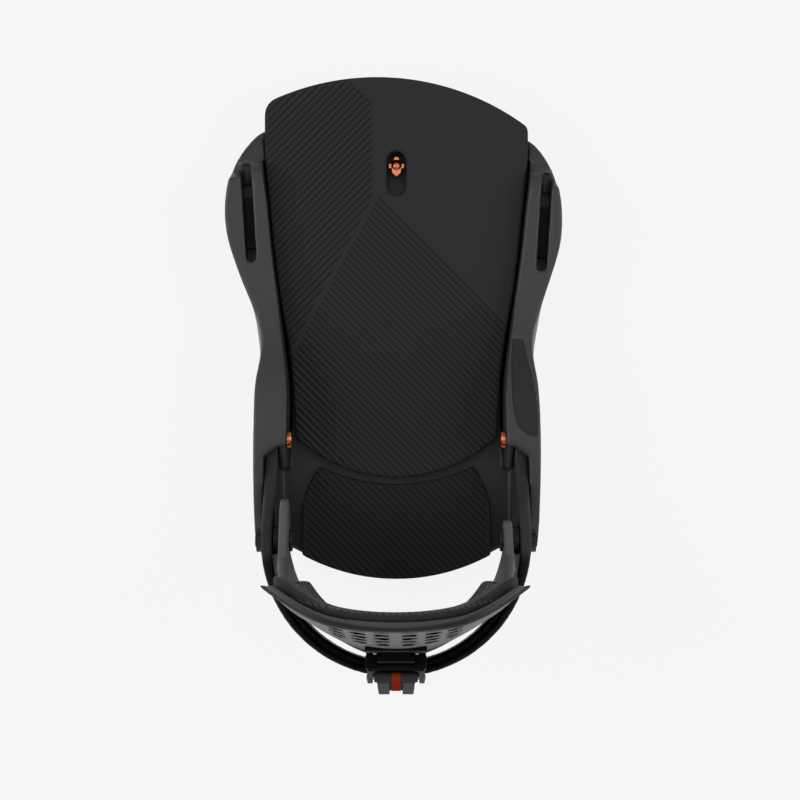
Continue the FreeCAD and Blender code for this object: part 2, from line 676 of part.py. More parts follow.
def track_section(side, y0, y1):
    web = side_box(side, TRACK_INNER, TRACK_OUTER, y0, y1, LIP_BOTTOM, FLOOR_BOTTOM)
    lip = side_box(side, LIP_INNER, TRACK_OUTER, y0, y1, LIP_BOTTOM, LIP_TOP)
    return web.fuse(lip)


def puck_track(side):
    """A channel-section track with a pivot lug at its toe end."""
    track = track_section(side, TRACK_REAR, TRACK_FRONT)
    lug = cylinder_x(LUG_RADIUS, side * LUG_INNER, side * LUG_OUTER, PIVOT_BORE_Y, PIVOT_BORE_Z)
    arm = side_box(side, LUG_INNER, LUG_OUTER, TRACK_FRONT - 6.0, PIVOT_BORE_Y, PIVOT_BORE_Z - 5.1, FLOOR_BOTTOM)
    track = track.fuse([lug, arm]).common(box(-TALL, TALL, -TALL, TALL, 0, FLOOR_BOTTOM))
    track = track.cut(cylinder_x(BUSHING_RADIUS + PRESS_GAP, 0, side * TALL, PIVOT_BORE_Y, PIVOT_BORE_Z))
    for y in TRACK_SCREW_STATIONS:
        x = side * TRACK_SCREW_X
        track = track.cut(cylinder_z(TRACK_SCREW_RADIUS + SNUG_GAP, x, y, 0, FLOOR_BOTTOM + 1))
        track = track.cut(cylinder_z(TRACK_SCREW_HEAD_RADIUS + SNUG_GAP, x, y, 0, TRACK_SCREW_SEAT))
    return track.removeSplitter()


PRESS_GAP = 0.02
TRACK_SCREW_SEAT = LIP_BOTTOM + 3.2


def track_screws():
    screws = []
    for side in (LEFT, RIGHT):
        for y in TRACK_SCREW_STATIONS:
            x = side * TRACK_SCREW_X
            head = cylinder_z(TRACK_SCREW_HEAD_RADIUS, x, y, TRACK_SCREW_SEAT - TRACK_SCREW_HEAD, TRACK_SCREW_SEAT)
            shank = cylinder_z(TRACK_SCREW_RADIUS, x, y, TRACK_SCREW_SEAT - 1, FLOOR_BOTTOM + TRACK_SCREW_REACH)
            socket = cylinder_z(1.2, x, y, 0, TRACK_SCREW_SEAT - 1.2)
            screws.append(head.fuse(shank).cut(socket).removeSplitter())
    return Part.makeCompound(screws)


def track_feet():
    feet = []
    for side in (LEFT, RIGHT):
        for y0, y1 in FOOT_STATIONS:
            foot = side_box(side, LIP_INNER + 0.6, TRACK_OUTER - 0.6, y0, y1, 0, LIP_BOTTOM)
            feet.append(rounded(foot, 1.5, is_upright_any))
    return Part.makeCompound(feet)


def is_upright_any(edge):
    return len(edge.Vertexes) == 2 and abs(edge.Vertexes[0].Point.z - edge.Vertexes[1].Point.z) > 1


def pivot_bushings():
    rings = []
    for side in (LEFT, RIGHT):
        outer = side * (LUG_OUTER + BUSHING_FLANGE)
        ring = cylinder_x(BUSHING_RADIUS, side * LUG_INNER, outer, PIVOT_BORE_Y, PIVOT_BORE_Z)
        flange = cylinder_x(BUSHING_RADIUS + 1.2, side * LUG_OUTER, outer, PIVOT_BORE_Y, PIVOT_BORE_Z)
        bore = cylinder_x(PIVOT_BORE_RADIUS, 0, side * TALL, PIVOT_BORE_Y, PIVOT_BORE_Z)
        rings.append(ring.fuse(flange).cut(bore).removeSplitter())
    return Part.makeCompound(rings)


BUSHING_FLANGE = 1.0


# ---------------------------------------------------------------- heel hoop

def hoop_ring(radius, centre, front):
    """A filled hoop outline: a half round with two straight arms."""
    edges = [
        arc(point(radius, centre), point(0, centre - radius), point(-radius, centre)),
        line(point(-radius, centre), point(-radius, front)),
        line(point(-radius, front), point(radius, front)),
        line(point(radius, front), point(radius, centre)),
    ]
    return prism(edges, Vector(0, 0, 130.0))


def heel_hoop():
    hoop = hoop_ring(HOOP_RADIUS, HOOP_CENTRE, HOOP_FRONT)
    hoop = hoop.cut(hoop_ring(HOOP_BORE_RADIUS, HOOP_BORE_CENTRE, HOOP_FRONT + 1))
    hoop = hoop.common(band_between(HOOP_TOP_EDGE, HOOP_LOW_EDGE, -TALL, TALL))
    for side in (LEFT, RIGHT):
        hoop = hoop.cut([
            cylinder_x(HOOP_BOLT_RADIUS + SNUG_GAP, side * 40, side * TALL, HOOP_BOLT_STATION, HOOP_BOLT_HEIGHT),
            cylinder_x(HINGE_BOLT_RADIUS + RUNNING_GAP, side * 40, side * TALL, PIVOT_Y, PIVOT_Z),
            cylinder_x(STRAP_BORE_RADIUS, side * 40, side * TALL, STRAP_BORE_STATION, STRAP_BORE_HEIGHT),
        ])
    return hoop


def hoop_liner():
    """A thin lining on the inner face of the hoop's rear."""
    outer = HOOP_BORE_RADIUS - 0.1
    ring = Part.makeCylinder(outer, LINER_BAND[1] - LINER_BAND[0], Vector(0, HOOP_BORE_CENTRE, LINER_BAND[0]))
    ring = ring.cut(Part.makeCylinder(outer - LINER, TALL, Vector(0, HOOP_BORE_CENTRE, 0)))
    angle = math.radians(LINER_HALF_ANGLE)
    wedge = [Vector(0, HOOP_BORE_CENTRE, 0), Vector(TALL * math.sin(angle), HOOP_BORE_CENTRE - TALL * math.cos(angle), 0),
             Vector(TALL, HOOP_BORE_CENTRE - TALL, 0), Vector(-TALL, HOOP_BORE_CENTRE - TALL, 0),
             Vector(-TALL * math.sin(angle), HOOP_BORE_CENTRE - TALL * math.cos(angle), 0)]
    ring = ring.common(polygon_prism(wedge, Vector(0, 0, TALL)))
    top = [(y, z - 3.0) for y, z in HOOP_TOP_EDGE]
    low = [(y, z + 3.0) for y, z in HOOP_LOW_EDGE]
    ring = ring.common(band_between(top, low, -TALL, TALL))
    return rounded(ring, 0.8, lambda e: e.Length > 60)


def hoop_bolts():
    bolts = []
    for side in (LEFT, RIGHT):
        face = RAIL_INNER[-1][1]
        y, z = HOOP_BOLT_STATION, HOOP_BOLT_HEIGHT
        head = cylinder_x(HOOP_BOLT_HEAD_RADIUS, side * (face - HOOP_BOLT_HEAD), side * face, y, z)
        head = rounded(head, 0.5, lambda e: abs(abs(e.CenterOfMass.x) - (face - HOOP_BOLT_HEAD)) < 0.01)
        shank = cylinder_x(HOOP_BOLT_RADIUS, side * (face - 0.5), side * (HOOP_NUT_SEAT + HOOP_NUT + 0.8), y, z)
        socket = hex_x(HOOP_BOLT_HEX, side * (face - 5), side * (face - 0.5), y, z)
        bolts.append(head.fuse(shank).cut(socket).removeSplitter())
    return Part.makeCompound(bolts)


def round_nut(radius, bore, thickness, side, seat, y, z):
    nut = cylinder_x(radius, side * seat, side * (seat + thickness), y, z)
    nut = nut.cut(cylinder_x(bore, 0, side * TALL, y, z))
    for angle in range(0, 360, 90):
        notch = side_box(side, seat + thickness / 2, seat + thickness + 1, y + radius - 0.9, y + radius + 1, z - 0.8, z + 0.8)
        notch.rotate(Vector(0, y, z), Vector(1, 0, 0), angle)
        nut = nut.cut(notch)
    return nut


def hoop_nuts():
    return Part.makeCompound([
        round_nut(HOOP_NUT_RADIUS, HOOP_BOLT_RADIUS + RUNNING_GAP, HOOP_NUT, side, HOOP_NUT_SEAT,
                  HOOP_BOLT_STATION, HOOP_BOLT_HEIGHT) for side in (LEFT, RIGHT)])


# ---------------------------------------------------------------- highback

def spine_y(z):
    return SPINE_Y + (z - SPINE_Z) * math.tan(math.radians(LEAN))


def back_section(section, offset):
    """A closed wire: one level of the highback's outer face, moved inwards, and its chord."""
    z, half, depth, angle, flatness = section
    half, depth = half - offset, depth - offset * DEPTH_SHARE
    y = spine_y(z) + offset / math.cos(math.radians(LEAN))
    turn = math.radians(angle)
    flat, rise = half * flatness, depth * HANDLE_RISE
    tip = Vector(half, y + depth, z)
    left_tip = Vector(-half, y + depth, z)
    handle = Vector(half - rise * math.cos(turn), y + depth - rise * math.sin(turn), z)
    left_handle = Vector(-handle.x, handle.y, z)
    right = Part.BezierCurve()
    right.setPoles([Vector(0, y, z), Vector(flat, y, z), handle, tip])
    left = Part.BezierCurve()
    left.setPoles([left_tip, left_handle, Vector(-flat, y, z), Vector(0, y, z)])
    return Part.Wire([left.toShape(), right.toShape(), line(tip, left_tip)])


DEPTH_SHARE = 0.6
HANDLE_RISE = 0.56


def back_solid(offset):
    """The space in front of the highback's outer face, moved inwards."""
    return Part.makeLoft([back_section(s, offset) for s in SHELL_SECTIONS], True, False)


def front_view_prism(half, top, corner_z, shrink):
    """The highback's outline seen from the front, swept along Y."""
    outline = [(half, corner_z - 22.0), (half - 0.7, corner_z - 8.0), (half - 5.6, corner_z + 7.5),
               (half * 0.62, top - 8.6), (half * 0.32, top - 2.3)]
    points = [Vector(x - shrink, -TALL, z - shrink) for x, z in outline]
    points.append(Vector(0, -TALL, top - shrink))
    points += [Vector(-p.x, p.y, p.z) for p in reversed(points[:-1])]
    low_right, low_left = Vector(half - shrink, -TALL, 0), Vector(-(half - shrink), -TALL, 0)
    edges = [spline(points), line(points[-1], low_left), line(low_left, low_right), line(low_right, points[0])]
    return prism(edges, Vector(0, 2 * TALL, 0))


def ear(side):
    """A flat ear about the hinge, with its forward tip."""
    tip = EAR_TIP[side]
    outer = SHELL_SECTIONS[0][1]
    x0, x1 = side * (outer - EAR_WALL), side * outer
    lobe = cylinder_x(EAR_LOBE, x0, x1, PIVOT_Y, PIVOT_Z)
    low, high = sorted((x0, x1))
    outline = [
        (PIVOT_Y, PIVOT_Z - EAR_LOBE), (tip - 2.4, PIVOT_Z - 3.0), (tip, PIVOT_Z + 2.0), (tip - 1.4, PIVOT_Z + 7.0),
        (tip - 7.5, PIVOT_Z + 12.6), (PIVOT_Y - 8.0, PIVOT_Z + 24.0), (PIVOT_Y - 14.0, PIVOT_Z + 44.0),
    ]
    curve = [Vector(low, y, z) for y, z in outline]
    back = Vector(low, PIVOT_Y - 26.0, PIVOT_Z + 40.0)
    foot = Vector(low, PIVOT_Y - 26.0, PIVOT_Z - 2.0)
    web = prism([spline(curve), line(curve[-1], back), line(back, foot), line(foot, curve[0])], Vector(high - low, 0, 0))
    return lobe.fuse(web)


def highback_shell():
    shell = back_solid(0).cut(back_solid(SHELL_WALL))
    shell = shell.common(front_view_prism(SHELL_SECTIONS[0][1], SHELL_TOP, SHELL_TOP_CORNER, 0))
    under = side_view_prism([(-TALL, 0), (-TALL, SHELL_REAR_BOTTOM), (spine_y(SHELL_REAR_BOTTOM) + 8.0, SHELL_REAR_BOTTOM),
                             (PIVOT_Y - 12.0, PIVOT_Z - EAR_LOBE + 1.5), (TALL, PIVOT_Z - EAR_LOBE + 1.5), (TALL, 0)],
                            -TALL, TALL)
    shell = shell.cut(under)
    bevel = spine_frame(box(-RACK_SEAT_HALF, RACK_SEAT_HALF, 0, RACK_BOSS, RACK_FROM - 1.0, RACK_TO + 1.0))
    ears = [ear(side).common(ear_bound()) for side in (LEFT, RIGHT)]
    shell = shell.fuse(ears + [bevel]).removeSplitter()
    cuts = [cylinder_x(HINGE_BOLT_RADIUS + RUNNING_GAP, -TALL, TALL, PIVOT_Y, PIVOT_Z)]
    cuts += vent_cuts()
    cuts += [spine_frame(spine_cylinder(RACK_SCREW_RADIUS + SNUG_GAP, u, -RACK_SCREW_DEPTH - 1.0, 20.0))
             for u in RACK_SCREWS]
    return shell.cut(cuts)


RACK_SEAT_HALF = 9.0


def ear_bound():
    """The ears stay behind the highback's outer face."""
    half = SHELL_SECTIONS[0][1]
    return back_solid(0).fuse(box(-half, half, PIVOT_Y - 12.0, TALL, 0, TALL))


def vent_cuts():
    cuts = []
    radius = VENT_WIDTH / 2
    for row in VENT_ROWS:
        for column in VENT_COLUMNS:
            for side in (LEFT, RIGHT):
                x = side * column
                half = VENT_HEIGHT / 2 - radius
                cuts.append(box(x - radius, x + radius, -TALL, TALL, row - half, row + half))
                for z in (row - half, row + half):
                    cuts.append(Part.makeCylinder(radius, 2 * TALL, Vector(x, -TALL, z), Vector(0, 1, 0)))
    return cuts


def highback_pad():
    pad = back_solid(SHELL_WALL + BACK_PAD_GAP).cut(back_solid(SHELL_WALL + BACK_PAD_GAP + BACK_PAD))
    pad = pad.common(front_view_prism(BACK_PAD_HALF, BACK_PAD_TOP, SHELL_TOP_CORNER - 2.0, 0))
    pad = pad.cut(box(-TALL, TALL, BACK_PAD_SIDE_FRONT, TALL, 0, BACK_PAD_SIDE_TOP))
    return pad.cut(box(-TALL, TALL, -TALL, TALL, 0, BACK_PAD_BOTTOM))


def hinge_bolts():
    bolts = []
    for side in (LEFT, RIGHT):
        inner = SHELL_SECTIONS[0][1] - EAR_WALL - HINGE_PLAY
        outer = HOOP_RADIUS + HINGE_NUT + 0.6
        head = cylinder_x(HINGE_HEAD_RADIUS, side * (inner - HINGE_HEAD), side * inner, PIVOT_Y, PIVOT_Z)
        head = rounded(head, 0.7, lambda e: abs(abs(e.CenterOfMass.x) - (inner - HINGE_HEAD)) < 0.01)
        shank = cylinder_x(HINGE_BOLT_RADIUS, side * (inner - 0.5), side * outer, PIVOT_Y, PIVOT_Z)
        socket = hex_x(HINGE_BOLT_HEX, side * (inner - 5), side * (inner - 0.4), PIVOT_Y, PIVOT_Z)
        bolts.append(head.fuse(shank).cut(socket).removeSplitter())
    return Part.makeCompound(bolts)


HINGE_PLAY = 0.1


def hinge_nuts():
    return Part.makeCompound([
        round_nut(HINGE_NUT_RADIUS, HINGE_BOLT_RADIUS + RUNNING_GAP, HINGE_NUT, side, HOOP_RADIUS, PIVOT_Y, PIVOT_Z)
        for side in (LEFT, RIGHT)])


def hinge_washers():
    rings = []
    for side in (LEFT, RIGHT):
        inner = SHELL_SECTIONS[0][1] + HINGE_PLAY
        outer = HOOP_BORE_RADIUS - SLIDING_GAP
        ring = cylinder_x(WASHER_RADIUS, side * inner, side * outer, PIVOT_Y, PIVOT_Z)
        rings.append(ring.cut(cylinder_x(HINGE_BOLT_RADIUS + RUNNING_GAP, 0, side * TALL, PIVOT_Y, PIVOT_Z)))
    return Part.makeCompound(rings)


# ---------------------------------------------------------------- forward lean adjuster

def spine_frame(shape):
    """Puts a shape on the spine. It is modelled with Z up the spine and -Y out of its outer face."""
    shape.rotate(Vector(0, 0, 0), Vector(1, 0, 0), -LEAN)
    shape.translate(Vector(0, SPINE_Y, SPINE_Z))
    return shape


def spine_box(x0, x1, n0, n1, u0, u1):
    return box(x0, x1, -n1, -n0, u0, u1)


def spine_cylinder(radius, u, n0, n1):
    """A cylinder out of the spine's face, at a height along it."""
    return Part.makeCylinder(radius, n1 - n0, Vector(0, -n0, u), Vector(0, -1, 0))


def lean_rack():
    """A toothed rail, wider at its head than at its neck."""
    neck = spine_box(-RACK_NECK_HALF, RACK_NECK_HALF, 0, RACK_NECK + 0.1, RACK_FROM, RACK_TO)
    face = RACK_NECK + RACK_HEAD
    head = spine_box(-RACK_HEAD_HALF, RACK_HEAD_HALF, RACK_NECK, face, RACK_FROM, RACK_TO)
    rack = neck.fuse(head)
    count = int((RACK_TO - RACK_FROM) / RACK_PITCH)
    for i in range(1, count):
        u = RACK_FROM + i * RACK_PITCH
        if min(abs(u - screw) for screw in RACK_SCREWS) < RACK_SCREW_HEAD + 0.8:
            continue
        tooth = polygon_prism([Vector(-RACK_HEAD_HALF - 1, -face - 0.1, u - RACK_TOOTH),
                               Vector(-RACK_HEAD_HALF - 1, -face - 0.1, u + RACK_TOOTH),
                               Vector(-RACK_HEAD_HALF - 1, -face + RACK_TOOTH, u)],
                              Vector(2 * RACK_HEAD_HALF + 2, 0, 0))
        rack = rack.cut(tooth)
    for u in RACK_SCREWS:
        rack = rack.cut(spine_cylinder(RACK_SCREW_RADIUS + SNUG_GAP, u, -1, face + 1))
        rack = rack.cut(spine_cylinder(RACK_SCREW_HEAD + SNUG_GAP, u, face - 1.5, face + 1))
    return spine_frame(rack.removeSplitter())


def rack_screws():
    screws = []
    face = RACK_NECK + RACK_HEAD
    for u in RACK_SCREWS:
        head = spine_cylinder(RACK_SCREW_HEAD, u, face - 1.5, face - 0.2)
        shank = spine_cylinder(RACK_SCREW_RADIUS, u, -RACK_SCREW_DEPTH, face - 0.8)
        socket = spine_cylinder(0.9, u, face - 0.9, face)
        screws.append(spine_frame(head.fuse(shank).cut(socket).removeSplitter()))
    return Part.makeCompound(screws)


def lean_block():
    """The stop block that rests on the hoop and slides on the rack."""
    face = RACK_NECK + RACK_HEAD
    block = spine_box(-BLOCK_HALF, BLOCK_HALF, SLIDING_GAP, BLOCK_FACE, -4.0, BLOCK_TOP)
    block = rounded(block, 1.8, lambda e: all_inside(e, lambda p: abs(p.y + BLOCK_FACE) < 0.01 and abs(p.x) > BLOCK_HALF - 0.01)
                    or all_inside(e, lambda p: p.z > BLOCK_TOP - 0.01 and p.y < -BLOCK_FACE + 0.01))
    foot = spine_box(-LEVER_HALF, LEVER_HALF, BLOCK_FACE - 2, BLOCK_FOOT, -4.0, BLOCK_FOOT_TOP)
    cheeks = []
    for side in (LEFT, RIGHT):
        cheek = cylinder_x(BOSS_RADIUS, side * BOSS_INNER, side * BOSS_OUTER, -LEVER_PIN_N, LEVER_PIN_U)
        x0, x1 = sorted((side * BOSS_INNER, side * BOSS_OUTER))
        web = spine_box(x0, x1, BLOCK_FACE - 0.5, LEVER_PIN_N, LEVER_PIN_U - BOSS_RADIUS, LEVER_PIN_U + BOSS_RADIUS)
        cheeks += [cheek, web]
    block = block.fuse([foot] + cheeks)
    gap = SLIDING_GAP
    channel = spine_box(-RACK_HEAD_HALF - gap, RACK_HEAD_HALF + gap, RACK_NECK - gap, face + gap, -TALL, TALL)
    throat = spine_box(-RACK_NECK_HALF - gap, RACK_NECK_HALF + gap, -TALL, RACK_NECK, -TALL, TALL)
    hub_room = spine_box(-BOSS_INNER, BOSS_INNER, LEVER_PIN_N - LEVER_HUB_RADIUS - gap, TALL,
                         LEVER_PIN_U - LEVER_HUB_RADIUS - 2.0, LEVER_PIN_U + LEVER_HUB_RADIUS + 2.0)
    pin = cylinder_x(LEVER_PIN_RADIUS + RUNNING_GAP, -TALL, TALL, -LEVER_PIN_N, LEVER_PIN_U)
    block = spine_frame(block.cut([channel, throat, hub_room, pin]))
    return block.cut(box(-TALL, TALL, -TALL, TALL, 0, BLOCK_SEAT)).removeSplitter()


def lever_pin_place():
    """Where the lever's pin lies."""
    lean = math.radians(LEAN)
    y = SPINE_Y + LEVER_PIN_U * math.sin(lean) - LEVER_PIN_N * math.cos(lean)
    z = SPINE_Z + LEVER_PIN_U * math.cos(lean) + LEVER_PIN_N * math.sin(lean)
    return y, z


def tapered_lever_plan(half_top, half_end, inner_top, inner_end):
    """A fork seen from behind: two prongs below a crossbar."""
    _, z = lever_pin_place()
    top, bottom = z + TALL_LEVER, z - LEVER_LENGTH_Z
    crotch = z - LEVER_CROTCH
    outer = [Vector(-half_top, -TALL, top), Vector(half_top, -TALL, top), Vector(half_end, -TALL, bottom),
             Vector(-half_end, -TALL, bottom)]
    inner = [Vector(-inner_top, -TALL, crotch), Vector(inner_top, -TALL, crotch), Vector(inner_end, -TALL, bottom - 1),
             Vector(-inner_end, -TALL, bottom - 1)]
    return polygon_prism(outer, Vector(0, 2 * TALL, 0)).cut(polygon_prism(inner, Vector(0, 2 * TALL, 0)))


TALL_LEVER = 8.0
LEVER_CROTCH = 4.9


def lever_side_view(length, thickness, flare, x0, x1):
    """A lever seen from the side: from its hub out over the hoop's rim and down behind it."""
    y, z = lever_pin_place()
    rear = HOOP_CENTRE - HOOP_RADIUS - LEVER_HOOP_GAP
    low = z - length
    outer_face = rear - thickness
    inner = [(y + 1.0, z - LEVER_HUB_RADIUS), (rear, z - LEVER_BEND), (outer_face - flare + LEVER_TIP, low)]
    outer = [(outer_face - flare, low), (outer_face - LEVER_KNEE, z - LEVER_BEND + 0.6),
             (y - LEVER_HUB_RADIUS - 0.3, z + 0.8), (y, z + LEVER_HUB_RADIUS)]
    blade = side_view_prism(inner + outer, x0, x1)
    return blade.fuse(cylinder_x(LEVER_HUB_RADIUS, x0, x1, y, z))


LEVER_HOOP_GAP = 1.2
LEVER_BEND = 8.0               # the lever is furthest down the slope here before its prongs turn out
LEVER_KNEE = 0.6
LEAF_FLARE = 3.0
LEVER_FLARE = 5.2              # how far the prongs' tips stand out
LEVER_TIP = 1.6                # thickness of the tips


def lean_lever():
    """The fork-shaped lever that clamps the block."""
    y, z = lever_pin_place()
    lever = lever_side_view(LEVER_LENGTH_Z, LEVER_THICKNESS, LEVER_FLARE, -LEVER_HALF, LEVER_HALF)
    lever = lever.common(tapered_lever_plan(PRONG_OUTER_TOP, PRONG_OUTER_END, PRONG_INNER_TOP, PRONG_INNER_END))
    hub = cylinder_x(LEVER_HUB_RADIUS, -LEVER_HALF, LEVER_HALF, y, z)
    between = box(-PRONG_INNER_TOP, PRONG_INNER_TOP, -TALL, y - CROSSBAR_REAR, 0, TALL)
    lever = lever.fuse(hub).cut(between)
    groove = cylinder_x(LEVER_HUB_RADIUS + 1.0, -PAWL_HALF - 0.1, PAWL_HALF + 0.1, y, z)
    groove = groove.cut(cylinder_x(LEAF_RING_BORE, -TALL, TALL, y, z))
    lever = lever.cut(groove).removeSplitter()
    return lever.cut(cylinder_x(LEVER_PIN_RADIUS + RUNNING_GAP, -TALL, TALL, y, z))


CROSSBAR_REAR = 1.9            # the crossbar ends this far behind the pin
LEAF_RING_BORE = 1.65


def lean_leaf():
    """The copper-coloured leaf: a ring in the crossbar's groove, and a blade between the prongs."""
    y, z = lever_pin_place()
    blade = lever_side_view(PAWL_DROP, LEVER_THICKNESS + 0.3, LEAF_FLARE, -PAWL_HALF, PAWL_HALF)
    blade = blade.common(box(-TALL, TALL, -TALL, y - CROSSBAR_REAR - 0.05, 0, TALL))
    ring = cylinder_x(LEVER_HUB_RADIUS, -PAWL_HALF, PAWL_HALF, y, z)
    ring = ring.cut(cylinder_x(LEAF_RING_BORE + 0.03, -TALL, TALL, y, z))
    return blade.fuse(ring).removeSplitter()


def lean_lever_pin():
    y, z = lever_pin_place()
    return cylinder_x(LEVER_PIN_RADIUS, -BOSS_OUTER - 0.3, BOSS_OUTER + 0.3, y, z)


# ---------------------------------------------------------------- toe lock

def guide_screw_places():
    x = LOCK_HALF + SLIDING_GAP + GUIDE_WALL + GUIDE_EAR / 2
    return [(side * x, (y0 + y1) / 2) for side in (LEFT, RIGHT) for y0, y1 in GUIDE_EARS]


def lock_guide():
    """The housing under the floor in which the catch slides."""
    inner = LOCK_HALF + SLIDING_GAP
    outer = inner + GUIDE_WALL
    roof = FLOOR_BOTTOM
    cover_top = roof - 2 * SLIDING_GAP - LOCK_PLATE
    guide = box(-outer, outer, GUIDE_REAR, GUIDE_FRONT, cover_top - COVER, roof)
    guide = guide.cut(box(-inner, inner, GUIDE_REAR + GUIDE_WALL, LOCK_SHOULDER + SLIDING_GAP, cover_top, roof + 1))
    nose = LOCK_NOSE_HALF + SLIDING_GAP
    guide = guide.cut(box(-nose, nose, LOCK_SHOULDER, TALL, cover_top, roof + 1))
    for side in (LEFT, RIGHT):
        for y0, y1 in GUIDE_EARS:
            guide = guide.fuse(side_box(side, outer - 0.5, outer + GUIDE_EAR, y0, y1, roof - GUIDE_EAR_THICKNESS, roof))
    for x, y in guide_screw_places():
        guide = guide.cut(cylinder_z(GUIDE_SCREW_RADIUS + SNUG_GAP, x, y, 0, TALL))
    return guide.removeSplitter()


def guide_screws():
    screws = []
    seat = FLOOR_BOTTOM - GUIDE_EAR_THICKNESS
    for x, y in guide_screw_places():
        head = cylinder_z(GUIDE_SCREW_HEAD, x, y, seat - 1.4, seat)
        shank = cylinder_z(GUIDE_SCREW_RADIUS, x, y, seat - 0.5, FLOOR_BOTTOM + GUIDE_SCREW_REACH)
        socket = cylinder_z(0.8, x, y, 0, seat - 0.6)
        screws.append(head.fuse(shank).cut(socket).removeSplitter())
    return Part.makeCompound(screws)


def lock_catch():
    """The spring-loaded catch: a plate with a nose, and a thumb piece that stands in the window."""
    top = FLOOR_BOTTOM - SLIDING_GAP
    plate = box(-LOCK_HALF, LOCK_HALF, LOCK_REAR, LOCK_SHOULDER, top - LOCK_PLATE, top)
    nose = side_view_prism([(LOCK_SHOULDER - 1, top), (LOCK_SHOULDER - 1, top - LOCK_PLATE),
                            (LOCK_NOSE_FRONT - 4.0, top - LOCK_PLATE), (LOCK_NOSE_FRONT, top - 1.0),
                            (LOCK_NOSE_FRONT, top)], -LOCK_NOSE_HALF, LOCK_NOSE_HALF)
    catch = plate.fuse(nose)
    for side in (LEFT, RIGHT):
        pocket = side_box(side, SPRING_OFFSET - SPRING_RADIUS - 1.0, SPRING_OFFSET + SPRING_RADIUS + 1.0,
                          LOCK_REAR - 1, LOCK_REAR + SPRING_SEAT, 0, top - LOCK_PLATE / 2 + SPRING_RADIUS + 1.0)
        catch = catch.cut(pocket)
    return catch.removeSplitter()


SPRING_SEAT = 0.6


def lock_thumb():
    """The copper-coloured thumb piece on the catch."""
    base = FLOOR_BOTTOM - SLIDING_GAP
    post = cylinder_z(3.0, 0, THUMB_Y, base, THUMB_TOP - 2.4)
    stem = slot_prism(0, THUMB_Y - 4.8, THUMB_Y + 4.6, THUMB_STEM, base, THUMB_TOP - 2.6)
    body = slot_prism(0, THUMB_Y - 4.4, THUMB_Y + 1.0, 4.4, THUMB_TOP - 3.4, THUMB_TOP - 0.8)
    arms = box(-4.2, 4.2, THUMB_Y - 1.5, THUMB_Y + 1.5, THUMB_TOP - 3.0, THUMB_TOP - 1.2)
    arms = rounded(arms, 0.7, lambda e: True)
    dome = Part.makeSphere(THUMB_DOME, Vector(0, THUMB_Y, THUMB_TOP - THUMB_DOME))
    dome = dome.common(box(-5, 5, THUMB_Y - 5, THUMB_Y + 5, THUMB_TOP - 2.4, THUMB_TOP + 1))
    return post.fuse([stem, body, arms, dome]).removeSplitter()


THUMB_STEM = 2.4
THUMB_DOME = 3.4


def lock_springs():
    """Two compression springs behind the catch."""
    z = FLOOR_BOTTOM - SLIDING_GAP - LOCK_PLATE / 2
    start = GUIDE_REAR + GUIDE_WALL + SPRING_WIRE + 0.1
    length = LOCK_REAR + SPRING_SEAT - SPRING_WIRE - 0.1 - start
    pitch = length / SPRING_TURNS
    springs = []
    for side in (LEFT, RIGHT):
        springs.append(coil(SPRING_RADIUS - SPRING_WIRE, SPRING_WIRE, pitch, SPRING_TURNS,
                            Vector(side * SPRING_OFFSET, start, z), Vector(0, 1, 0)))
    return Part.makeCompound(springs)


# ---------------------------------------------------------------- nodes

NODES = {
    "base_plate": base_plate,
    "rail_inlay": rail_inlay,
    "footbed_tray": footbed_tray,
    "tray_screws": tray_screws,
    "footbed": footbed,
    "heel_pad": heel_pad,
    "puck_track_left": lambda: puck_track(LEFT),
    "puck_track_right": lambda: puck_track(RIGHT),
    "track_screws": track_screws,
    "track_feet": track_feet,
    "pivot_bushings": pivot_bushings,
    "strap_anchor_left": lambda: strap_anchor(LEFT),
    "strap_anchor_right": lambda: strap_anchor(RIGHT),
    "heel_hoop": heel_hoop,
    "hoop_liner": hoop_liner,
    "hoop_bolts": hoop_bolts,
    "hoop_nuts": hoop_nuts,
    "highback_shell": highback_shell,
    "highback_pad": highback_pad,
    "hinge_bolts": hinge_bolts,
    "hinge_nuts": hinge_nuts,
    "hinge_washers": hinge_washers,
    "lean_rack": lean_rack,
    "rack_screws": rack_screws,
    "lean_block": lean_block,
    "lean_lever": lean_lever,
    "lean_leaf": lean_leaf,
    "lean_lever_pin": lean_lever_pin,
    "lock_guide": lock_guide,
    "guide_screws": guide_screws,
    "lock_catch": lock_catch,
    "lock_thumb": lock_thumb,
    "lock_springs": lock_springs,
}


def main():
    os.makedirs("parts", exist_ok=True)
    for name, make in NODES.items():
        save(name, make())


if __name__ == "__main__":
    main()
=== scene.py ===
"""Looks of a splitboard touring binding for a right foot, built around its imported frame.

Metres, +X to the outer side of the foot, +Y to the toe, +Z up. The origin is the middle of the
footprint, on the surface that the rubber feet stand on.
"""

from __future__ import annotations

import logging
import math
from dataclasses import dataclass, field
from enum import Enum
from typing import Callable, Self

